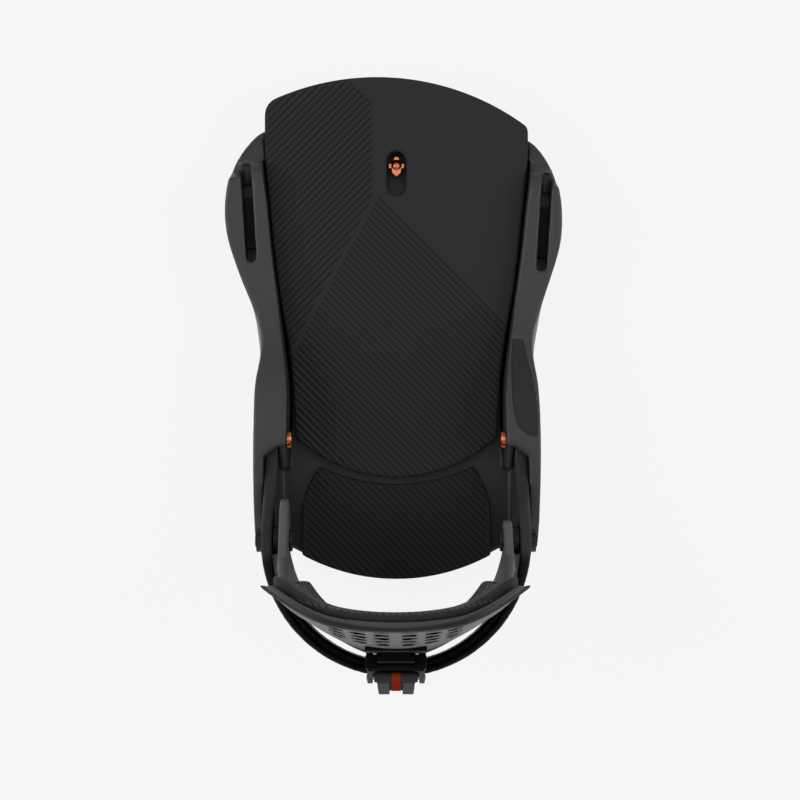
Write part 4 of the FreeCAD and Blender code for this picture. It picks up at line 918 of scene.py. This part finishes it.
@dataclass
class Moulded:
    """A moulded piece with rounded edges that stands for a plain solid of the frame.

    Attributes:
        node: The frame's solid.
        name: The piece's name.
        slot: The record's material slot.
        finish: Its finish.
        body: The body that it rides on.
        voxel: Mesh size that the form is worked at.
        rounds: Passes of smoothing that round the edges.
        keep: Share of the faces that is kept after that.
    """

    node: str
    name: str
    slot: str
    finish: Finish
    body: str = "base"
    voxel: float = 1.0 * MM
    rounds: int = 6
    keep: float = 1.0

    def build(self) -> bpy.types.Object:
        """Models the piece and puts it in the frame.

        Returns:
            The finished piece.
        """
        piece = Bench.copy_of(self.node, self.name)
        Bench.modify(piece, "REMESH", mode="VOXEL", voxel_size=self.voxel, use_smooth_shade=True)
        Bench.modify(piece, "SMOOTH", factor=0.5, iterations=self.rounds)
        if self.keep < 1.0:
            Bench.modify(piece, "DECIMATE", ratio=self.keep)
        self.sculpt(piece)
        Bench.smooth(piece, 60)
        Bench.dress(piece, self.finish.build())
        self.trim(piece)
        Bench.mount(piece, self.body, self.slot, self.node)
        return piece

    def sculpt(self, piece: bpy.types.Object) -> None:
        """Shapes the form after its edges are rounded. A plain part is left as it is."""

    def trim(self, piece: bpy.types.Object) -> None:
        """Gives areas of the piece other finishes. A plain part has only one."""


@dataclass
class Foam(Moulded):
    """A moulded foam piece.

    Attributes:
        fill: How full it is; not used.
        relief: The grooves in its top face, if it has any.
        level: How upright a face is, between which the grooves set in.
    """

    fill: float = 0.9
    relief: Callable[[Sample, Sample], tuple[Sample, Sample]] | None = None
    level: tuple[float, float] = (0.8, 0.95)

    def sculpt(self, piece: bpy.types.Object) -> None:
        """Sinks the moulded grooves in the top face.

        Args:
            piece: The foam piece.
        """
        if self.relief is None:
            return
        count = len(piece.data.vertices)
        places, normals = np.empty(count * 3), np.empty(count * 3)
        piece.data.vertices.foreach_get("co", places)
        piece.data.vertices.foreach_get("normal", normals)
        places, upward = places.reshape(-1, 3), normals.reshape(-1, 3)[:, 2]
        ridges, mask = self.relief(Sample(places[:, 0]), Sample(places[:, 1]))
        sink = ((ridges - 1.0) * mask).values * GROOVES.depth
        low, high = self.level
        places[:, 2] += sink * np.clip((upward - low) / (high - low), 0.0, 1.0)
        piece.data.vertices.foreach_set("co", places.ravel())
        piece.data.update()

    def build(self) -> bpy.types.Object:
        """Returns:
            The finished piece.
        """
        piece = super().build()
        return piece


@dataclass
class BackPad(Foam):
    """The highback's pad, crowned towards its middle and rolled over at its rim.

    Attributes:
        crown: How far the middle of its front stands out.
        swell: Distance from the rolled rim over which the crown rises.
        roll: Width of the rolled rim.
        pinch: Depth of the sewn line behind the roll.
        seam: Width of that line.
        forward: How far forward a face looks that counts as the front.
        fade: Depths under the outline between which the setback sets in.
        setback: How far the rim lies back against the shell.
        thinning: How much further its front does.
        widening: How much the thicker corners widen, as a share of their thickening.
    """

    crown: float = 1.0 * MM
    swell: float = 30.0 * MM
    roll: float = 7.0 * MM
    pinch: float = 0.8 * MM
    seam: float = 1.4 * MM
    forward: float = 0.4
    fade: tuple[float, float] = (30.0 * MM, 4.0 * MM)
    setback: float = 1.5 * MM
    thinning: float = 0.7 * MM
    widening: float = 0.75

    def sculpt(self, piece: bpy.types.Object) -> None:
        """Pinches the sewn line, crowns the front and sets the rim back against the shell."""
        for vertex, normal in Bench.facing(piece):
            depth = BACKREST.pad_distance(vertex.co)
            front = between(normal.y, 0.0, self.forward)
            high = between(depth, *self.fade)
            line = math.exp(-((depth - self.roll) / self.seam) ** 2)
            swell = between(depth, self.roll, self.roll + self.swell)
            vertex.co += normal * (self.crown * swell - self.pinch * line) * front
            vertex.co.y -= (self.setback + self.thinning * front) * high
            curl, fatten = BACKREST.forward(vertex.co)
            vertex.co.y += curl + fatten * front
            vertex.co.x += math.copysign(fatten * self.widening, vertex.co.x)
        piece.data.update()


@dataclass
class HighbackShell(Moulded):
    """The highback's shell, with a rounded rim round its top and its sides.

    Attributes:
        rim_finish: Finish of the rim.
        inside_finish: Finish of the insides of the windows: painted shade.
        windows: Half the width of the field of windows, and its lowest and highest level.
        window_facing: The faces of the back look further back than this.
        rim: Width of the rim.
        bead: How far the rim stands out behind.
        bead_middle: Where the bead is highest, in rim widths from the outline.
        bead_spread: How wide it is, in rim widths.
        backward: How far forward or back a face looks that counts as wholly one side.
        fade: Depths, in rim widths, between which the setback sets in.
        setback: How far the wall's front lies back at the rim.
    """

    rim_finish: Finish | None = None
    inside_finish: Finish | None = None
    windows: tuple[float, float, float] = (39.0 * MM, 147.0 * MM, 214.0 * MM)
    window_facing: float = -0.72
    rim: float = 8.4 * MM
    bead: float = 1.6 * MM
    bead_middle: float = 0.42
    bead_spread: float = 0.4
    backward: float = 0.4
    fade: tuple[float, float] = (3.5, 0.5)
    setback: float = 1.5 * MM

    def _depth(self, point: Vector) -> float:
        """How deep a point lies under the outline, in rim widths."""
        return BACKREST.rim_distance(point) / self.rim

    def sculpt(self, piece: bpy.types.Object) -> None:
        """Raises the bead of the rim on the outer face, and thins the wall in front of it."""
        for vertex, normal in Bench.facing(piece):
            share = self._depth(vertex.co)
            rear = between(normal.y, self.backward, -self.backward)
            high = between(share, *self.fade)
            rise = math.exp(-((share - self.bead_middle) / self.bead_spread) ** 4)
            vertex.co += normal * self.bead * rise * rear
            curl = BACKREST.forward(vertex.co)[0]
            vertex.co.y += curl - self.setback * high * (1.0 - rear)
        piece.data.update()

    def trim(self, piece: bpy.types.Object) -> None:
        """Gives the rim its own finish, and paints shade on the insides of the windows.

        Args:
            piece: The shell.
        """
        if self.rim_finish is None or self.inside_finish is None:
            return
        piece.data.materials.append(self.rim_finish.build())
        piece.data.materials.append(self.inside_finish.build())
        half, low, high = self.windows
        for face in piece.data.polygons:
            in_field = abs(face.center.x) < half and low < face.center.z < high
            if self._depth(face.center) < 1.0:
                face.material_index = 1
            # the insides of the windows are painted dark, as painted shade
            elif in_field and face.normal.y > self.window_facing:
                face.material_index = 2


@dataclass
class BasePlate(Moulded):
    """The chassis: its wings' front floor reaches in under the footbed's edge.

    Attributes:
        inner: Distance from the centre line of that floor's inner edge.
        outer: Distance at which it is left as it is.
        rear: Station behind which it is left as it is.
        reach: How far the inner edge is drawn in.
    """

    inner: float = 63.4 * MM
    outer: float = 67.5 * MM
    rear: float = 103.0 * MM
    reach: float = 1.5 * MM

    def sculpt(self, piece: bpy.types.Object) -> None:
        """Draws the front corners of the wings' floor inwards."""
        for vertex in piece.data.vertices:
            across = abs(vertex.co.x)
            if self.inner < across < self.outer and vertex.co.y > self.rear:
                share = (self.outer - across) / (self.outer - self.inner)
                vertex.co.x -= math.copysign(self.reach * share, vertex.co.x)
        piece.data.update()


@dataclass
class Hoop(Moulded):
    """The heel hoop: its arms fill the rails' pockets.

    Attributes:
        start: Station where the arms start to widen.
        full: Station where they are at their widest.
        spread: How far each arm is widened outwards.
    """

    start: float = -68.0 * MM
    full: float = -54.0 * MM
    spread: float = 0.9 * MM

    def sculpt(self, piece: bpy.types.Object) -> None:
        """Widens the arms outwards, inside the pockets."""
        for vertex, normal in Bench.facing(piece):
            outward = max(0.0, math.copysign(1.0, vertex.co.x) * normal.x)
            share = between(vertex.co.y, self.start, self.full)
            vertex.co.x += math.copysign(self.spread * share * outward, vertex.co.x)
        piece.data.update()


@dataclass
class Liner(Moulded):
    """The hoop's lining: only its upper band is seen, so the lower one is drawn up.

    Attributes:
        top: Height of its upper edge.
        share: Share of its height that it keeps.
    """

    top: float = 92.0 * MM
    share: float = 0.4

    def sculpt(self, piece: bpy.types.Object) -> None:
        """Draws the lower edge up."""
        for vertex in piece.data.vertices:
            vertex.co.z = self.top - (self.top - vertex.co.z) * self.share
        piece.data.update()


@dataclass
class LeanBlock(Moulded):
    """The lean stop's block: black, with bare bosses round the lever's pin.

    Attributes:
        boss_finish: Finish of the bosses.
        pin: Station and height of the pin.
        boss: Radius of a boss.
        face: Station that the bosses lie behind.
        inner: Distance from the centre line of their inner ends.
    """

    boss_finish: Finish | None = None
    pin: tuple[float, float] = (-135.2 * MM, 106.7 * MM)
    boss: float = 5.6 * MM
    face: float = -132.2 * MM
    inner: float = 9.4 * MM

    def trim(self, piece: bpy.types.Object) -> None:
        """Gives the bosses their own finish.

        Args:
            piece: The block.
        """
        if self.boss_finish is None:
            return
        piece.data.materials.append(self.boss_finish.build())
        for face in piece.data.polygons:
            x, y, z = face.center
            near = math.hypot(y - self.pin[0], z - self.pin[1]) < self.boss
            if near and y < self.face and abs(x) > self.inner:
                face.material_index = 1


# ------------------------------------------------------------------ pieces modelled from blocks


@dataclass
class LeverWeb:
    """The thin dark web between the lever's prongs, behind the copper leaf.

    Attributes:
        finish: Its finish.
        half: Half of its width.
        top: Station and height of its upper edge.
        foot: Station and height of its lower edge.
        thickness: Its thickness.
    """

    finish: Finish
    half: float = 2.95 * MM
    top: tuple[float, float] = (-137.2 * MM, 104.6 * MM)
    foot: tuple[float, float] = (-143.1 * MM, 91.2 * MM)
    thickness: float = 0.9 * MM

    def build(self) -> None:
        """Models the web and puts it on the lever."""
        web = Bench.block("lever_web", 5, self._place, 0.15 * MM, 2)
        Bench.dress(web, self.finish.build())
        Bench.mount(web, "lever", "trim")

    def _place(self, point: Vector) -> Vector:
        """Where a point of a unit cube goes: along the prongs, from the top to the foot.

        Args:
            point: The point.

        Returns:
            Its place.
        """
        down = 0.5 - point.z
        y = self.top[0] + (self.foot[0] - self.top[0]) * down + point.y * self.thickness
        z = self.top[1] + (self.foot[1] - self.top[1]) * down
        return Vector((point.x * 2 * self.half, y, z))


@dataclass
class Anchor:
    """A strap anchor: a plain block that fills the slot's width, with square ends.

    Attributes:
        side: Which wing it is in.
        finish: Its finish.
        shift: How far forward this wing's slot lies.
        slot_x: Distance of the slot's middle from the centre line.
        slot_y: Station of the slot's middle.
        toe_out: The slot's angle, in degrees.
        width: Its width.
        ends: Stations of its rear and its front.
        heights: Its underside and its top.
        flange: Width of the foot under the slot's lips, and the height of its top.
        waist: Level on the unit cube that the foot ends at.
    """

    side: Side
    finish: Finish
    shift: float = 0.0
    slot_x: float = 71.0 * MM
    slot_y: float = 73.0 * MM
    toe_out: float = 3.6
    width: float = 4.7 * MM
    ends: tuple[float, float] = (60.6 * MM, 85.1 * MM)
    heights: tuple[float, float] = (18.2 * MM, 28.4 * MM)
    flange: tuple[float, float] = (8.6 * MM, 20.8 * MM)
    waist: float = -0.2

    def build(self) -> None:
        """Models the anchor in its slot."""
        label = "left" if self.side is Side.INNER else "right"
        anchor = Bench.block(f"square_strap_anchor_{label}", 9, self._place, 0.35 * MM, 3)
        Bench.dress(anchor, self.finish.build())
        Bench.mount(anchor, f"anchor_{label}", "alloy", f"strap_anchor_{label}")

    def _place(self, point: Vector) -> Vector:
        """Where a point of a unit cube goes: a block with a wider foot, turned with the slot.

        Args:
            point: The point.

        Returns:
            Its place.
        """
        rear, front = self.ends
        low, high = self.heights
        width, neck = self.flange
        if point.z < self.waist:
            z = low + (point.z + 0.5) / (self.waist + 0.5) * (neck - low)
        else:
            width = self.width
            z = neck + (point.z - self.waist) / (0.5 - self.waist) * (high - neck)
        x, y = point.x * width, (rear + front) / 2 + point.y * (front - rear) - self.slot_y
        turn = -self.side.value * math.radians(self.toe_out)
        turned_x = x * math.cos(turn) - y * math.sin(turn)
        turned_y = x * math.sin(turn) + y * math.cos(turn)
        return Vector((turned_x + self.side.value * self.slot_x,
                       turned_y + self.slot_y + self.shift, z))


@dataclass
class RackPlate:
    """The dark plate on the highback's back that the rack is screwed to, with its two screws.

    Attributes:
        finish: Finish of the plate.
        screw_finish: Finish of the screws.
        half: Half of its width.
        low: Height of its lower edge.
        high: Height of its upper edge.
        spine: Station of the highback's back at the height spine_z.
        spine_z: That height.
        lean: The back's forward lean, in degrees.
        proud: How far it stands out of the back.
        apron: Height of the lower edge of the flush apron under it, which the stop slides over.
        flush: How far the apron stands out.
        depth: How far front to back both are.
        corner: Bevel of their edges.
        screw_x: Distance of the screws from the centre line.
        screw_z: Their height.
        screw_radius: Their radius.
        screw_rise: How far their middles stand out of the plate.
        screw_flat: Share of their depth that they keep.
        socket_from: Distance behind the middle where the socket's rim starts.
        socket_rim: Width of that rim.
        socket_depth: Depth of the socket.
    """

    finish: Finish
    screw_finish: Finish
    half: float = 13.2 * MM
    low: float = 126.8 * MM
    high: float = 138.5 * MM
    spine: float = -129.0 * MM
    spine_z: float = 90.0 * MM
    lean: float = 12.5
    proud: float = 0.9 * MM
    apron: float = 99.0 * MM
    flush: float = 0.05 * MM
    depth: float = 2.0 * MM
    corner: float = 0.5 * MM
    screw_x: float = 9.0 * MM
    screw_z: float = 129.0 * MM
    screw_radius: float = 0.9 * MM
    screw_rise: float = 0.2 * MM
    screw_flat: float = 0.75
    socket_from: float = 0.55 * MM
    socket_rim: float = 0.12 * MM
    socket_depth: float = 0.3 * MM

    def _back(self, z: float) -> float:
        """Station of the back's outer face at a height."""
        return self.spine + (z - self.spine_z) * math.tan(math.radians(self.lean))

    def build(self) -> None:
        """Models the plate, its apron and its screws."""
        self._plate("rack_plate", self.low, self.high, self.proud)
        self._plate("rack_apron", self.apron, self.low, self.flush)
        for side in Side:
            self._screw(side)

    def _plate(self, name: str, low: float, high: float, proud: float) -> None:
        """A thin plate with rounded corners that leans with the back.

        Args:
            name: The piece's name.
            low: Height of its lower edge.
            high: Height of its upper edge.
            proud: How far it stands out of the back.
        """
        Bench.clear()
        middle = (low + high) / 2
        y = self._back(middle) - proud + self.depth / 2
        bpy.ops.mesh.primitive_cube_add(size=1.0, location=(0, y, middle))
        plate = bpy.context.object
        plate.name = name
        plate.scale = (2 * self.half, self.depth, high - low)
        plate.rotation_euler = (-math.radians(self.lean), 0, 0)
        bpy.ops.object.transform_apply(location=True, rotation=True, scale=True)
        Bench.edit(plate)
        bpy.ops.mesh.select_mode(type="EDGE")
        bpy.ops.mesh.bevel(offset=self.corner, segments=3)
        bpy.ops.mesh.select_all(action="SELECT")
        bpy.ops.mesh.subdivide(number_cuts=2)
        bpy.ops.object.mode_set(mode="OBJECT")
        self._finish(plate, self.finish, "trim")

    def _screw(self, side: Side) -> None:
        """A small round-headed screw with a socket.

        Args:
            side: Which side of the plate it is on.
        """
        Bench.clear()
        y = self._back(self.screw_z) - self.proud - self.screw_rise
        bpy.ops.mesh.primitive_uv_sphere_add(segments=24, ring_count=12, radius=self.screw_radius,
                                             location=(side.value * self.screw_x, y, self.screw_z))
        screw = bpy.context.object
        screw.name = f"plate_screw_{side.name.lower()}"
        bpy.ops.object.transform_apply(location=True, rotation=True, scale=True)
        Bench.shape(screw, lambda p: Vector((p.x, y + (p.y - y) * self.screw_flat, p.z)))
        Bench.select_faces(screw, lambda f: f.center.y < y - self.socket_from)
        bpy.ops.mesh.inset(thickness=self.socket_rim)
        bpy.ops.transform.translate(value=(0, self.socket_depth, 0))
        bpy.ops.object.mode_set(mode="OBJECT")
        self._finish(screw, self.screw_finish, "steel")

    def _finish(self, piece: bpy.types.Object, finish: Finish, slot: str) -> None:
        """Dresses a piece and puts it on the highback.

        Args:
            piece: The piece.
            finish: Its finish.
            slot: The record's material slot.
        """
        Bench.smooth(piece, 35)
        Bench.dress(piece, finish.build())
        Bench.mount(piece, "highback", slot)


# ------------------------------------------------------------------ stage


@dataclass(frozen=True)
class Lamp:
    """A square area lamp that looks at the binding, with its power in watts."""

    name: str
    place: tuple[float, float, float]
    power: float
    size: float


@dataclass
class Studio:
    """A plain pale floor, soft light and the camera.

    Attributes:
        camera_at: The camera, looking straight down.
        lens: Focal length.
        sensor: Width of the sensor, in the same millimetres.
        clip: Distance at which the camera starts to see.
        pale: Brightness of the even floor.
        even: Share of that evenness in what the eye sees.
        matte: Brightness of the floor's own surface.
        floor_size: Width of the floor.
        floor_gap: How far the floor lies under the feet.
        world: Strength of the light from all round.
        aim: The point that the lamps look at.
        lamps: The lamps.
    """

    camera_at: tuple[float, float, float] = (1.75 * MM, -13.0 * MM, 900.0 * MM)
    lens: float = 81.0
    sensor: float = 36.0
    clip: float = 10.0 * MM
    pale: float = 0.935
    even: float = 0.93
    matte: float = 0.8
    floor_size: float = 6.0
    floor_gap: float = 0.2 * MM
    world: float = 0.36
    aim: tuple[float, float, float] = (0.0, 0.0, 0.05)
    lamps: tuple[Lamp, ...] = (
        Lamp("lamp_left", (-1.3, 0.15, 0.9), 10.0, 0.9),
        Lamp("lamp_right", (1.3, 0.15, 0.9), 7.5, 0.9),
        Lamp("lamp_heel", (0.0, -1.5, 1.0), 4.0, 1.0),
        Lamp("lamp_top", (0.0, 0.3, 1.7), 5.0, 1.4),
    )

    def build(self) -> None:
        """Sets the stage."""
        self._floor()
        self._lights()
        self._camera()
        bpy.context.scene.view_settings.view_transform = "Standard"

    def _camera(self) -> None:
        """Adds the camera, with the toe at the top of its view."""
        Bench.clear()
        bpy.ops.object.camera_add(location=self.camera_at, rotation=(0, 0, 0))
        camera = bpy.context.object
        camera.name = "camera"
        camera.data.lens = self.lens
        camera.data.sensor_width = self.sensor
        camera.data.clip_start = self.clip
        bpy.context.scene.camera = camera

    def _seen_pale(self, tree: bpy.types.NodeTree,
                   lit: bpy.types.NodeSocket) -> bpy.types.NodeSocket:
        """Mixes a surface's own light with an even pale one that the eye, gloss and glass see.

        Args:
            tree: The material's nodes.
            lit: The surface's own shader.

        Returns:
            The mixed shader.
        """
        path = tree.nodes.new("ShaderNodeLightPath")
        seen = Field(tree, path.outputs["Is Camera Ray"])
        seen = seen.join("MAXIMUM", Field(tree, path.outputs["Is Transmission Ray"]))
        seen = seen.join("MAXIMUM", Field(tree, path.outputs["Is Glossy Ray"]))
        glow = tree.nodes.new("ShaderNodeEmission")
        glow.inputs["Color"].default_value = (self.pale, self.pale, self.pale, 1)
        mix = tree.nodes.new("ShaderNodeMixShader")
        tree.links.new((seen * self.even).socket, mix.inputs[0])
        tree.links.new(lit, mix.inputs[1])
        tree.links.new(glow.outputs[0], mix.inputs[2])
        return mix.outputs[0]

    def _floor(self) -> None:
        """A wide pale floor under the rubber feet."""
        Bench.clear()
        bpy.ops.mesh.primitive_plane_add(size=self.floor_size, location=(0, 0, -self.floor_gap))
        floor = bpy.context.object
        floor.name = "floor"
        material = bpy.data.materials.new("pale_floor")
        material.use_nodes = True
        tree = material.node_tree
        tree.nodes.remove(tree.nodes["Principled BSDF"])
        matte = tree.nodes.new("ShaderNodeBsdfDiffuse")
        matte.inputs["Color"].default_value = (self.matte, self.matte, self.matte, 1)
        output = tree.nodes["Material Output"]
        tree.links.new(self._seen_pale(tree, matte.outputs[0]), output.inputs["Surface"])
        Bench.dress(floor, material)

    def _lights(self) -> None:
        """Even light from the world, and large soft lamps at the sides."""
        world = bpy.data.worlds.new("studio")
        bpy.context.scene.world = world
        world.use_nodes = True
        world.node_tree.nodes["Background"].inputs["Color"].default_value = (1, 1, 1, 1)
        world.node_tree.nodes["Background"].inputs["Strength"].default_value = self.world
        for lamp in self.lamps:
            Bench.clear()
            bpy.ops.object.light_add(type="AREA", location=lamp.place)
            light = bpy.context.object
            light.name = lamp.name
            light.data.energy = lamp.power
            light.data.size = lamp.size
            look = Vector(self.aim) - Vector(lamp.place)
            light.rotation_euler = look.to_track_quat("-Z", "Y").to_euler()


# ------------------------------------------------------------------ the binding


@dataclass
class Binding:
    """The whole binding: finishes for the frame's nodes, and the pieces made here.

    Attributes:
        palette: Its finishes.
        wing_shifts: How far forward each wing's strap slot lies.
    """

    palette: Palette = field(default_factory=Palette)
    wing_shifts: tuple[tuple[Side, float], ...] = ((Side.INNER, 0.0), (Side.OUTER, -4.5 * MM))

    def node_finishes(self) -> dict[Finish, list[str]]:
        """Which frame nodes have which finish."""
        p = self.palette
        return {
            p.trim: ["footbed_tray", "lock_guide", "hinge_washers"],
            p.inlay: ["rail_inlay"],
            p.leaf: ["lean_leaf"],
            p.stop: ["lean_rack"],
            p.copper: ["hoop_bolts", "lock_thumb"],
            p.alloy: ["puck_track_left", "puck_track_right"],
            p.black: ["hinge_bolts", "hinge_nuts", "lock_catch", "rack_screws"],
            p.steel: ["tray_screws", "track_screws", "guide_screws", "hoop_nuts",
                      "lean_lever_pin", "lock_springs"],
            p.bushing: ["pivot_bushings"],
            p.rubber: ["track_feet"],
        }

    def dress_frame(self, nodes: dict[str, bpy.types.Object]) -> None:
        """Gives each frame node its finish.

        Args:
            nodes: The frame's nodes by name.
        """
        for finish, names in self.node_finishes().items():
            material = finish.build()
            for name in names:
                Bench.dress(nodes[name], material)
                LOG.info("%s: %s", name, finish.name)

    def build(self, nodes: dict[str, bpy.types.Object]) -> None:
        """Builds and dresses everything.

        Args:
            nodes: The frame's nodes by name.
        """
        self.dress_frame(nodes)
        p = self.palette
        Foam("footbed", "grooved_footbed", "foam", p.foam, voxel=0.66 * MM, rounds=9,
             relief=GROOVES.footbed).build()
        Foam("heel_pad", "grooved_heel_pad", "foam_heel", p.heel, voxel=0.66 * MM, rounds=9,
             relief=GROOVES.heel).build()
        BackPad("highback_pad", "quilted_back_pad", "pad", p.pad, "highback",
                voxel=0.85 * MM, rounds=10).build()
        HighbackShell("highback_shell", "rounded_highback_shell", "back", p.shell, "highback",
                      voxel=0.85 * MM, rounds=7, rim_finish=p.rim,
                      inside_finish=p.window_shade).build()
        Hoop("heel_hoop", "rounded_heel_hoop", "chassis", p.hoop, voxel=0.9 * MM,
             rounds=4).build()
        Liner("hoop_liner", "hoop_lining_band", "rubber", p.liner, voxel=0.8 * MM,
              rounds=3).build()
        BasePlate("base_plate", "rounded_base_plate", "chassis", p.chassis, voxel=0.8 * MM,
                  rounds=9, keep=0.6).build()
        RackPlate(p.stop, p.steel).build()
        LeanBlock("lean_block", "rounded_lean_block", "trim", p.stop, "lean_stop",
                  voxel=0.4 * MM, rounds=3, boss_finish=p.boss).build()
        LeverWeb(p.stop).build()
        for side, shift in self.wing_shifts:
            Anchor(side, p.anchor, shift).build()
        Moulded("lean_lever", "rounded_lean_lever", "alloy", p.lever, "lever",
                voxel=0.3 * MM, rounds=4).build()


def main() -> None:
    """Loads the frame, builds the binding and its stage, and notes the sizes."""
    logging.basicConfig(level=logging.INFO, format="%(message)s")
    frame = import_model()
    Studio().build()
    Binding().build(frame["nodes"])


if __name__ == "__main__":
    main()
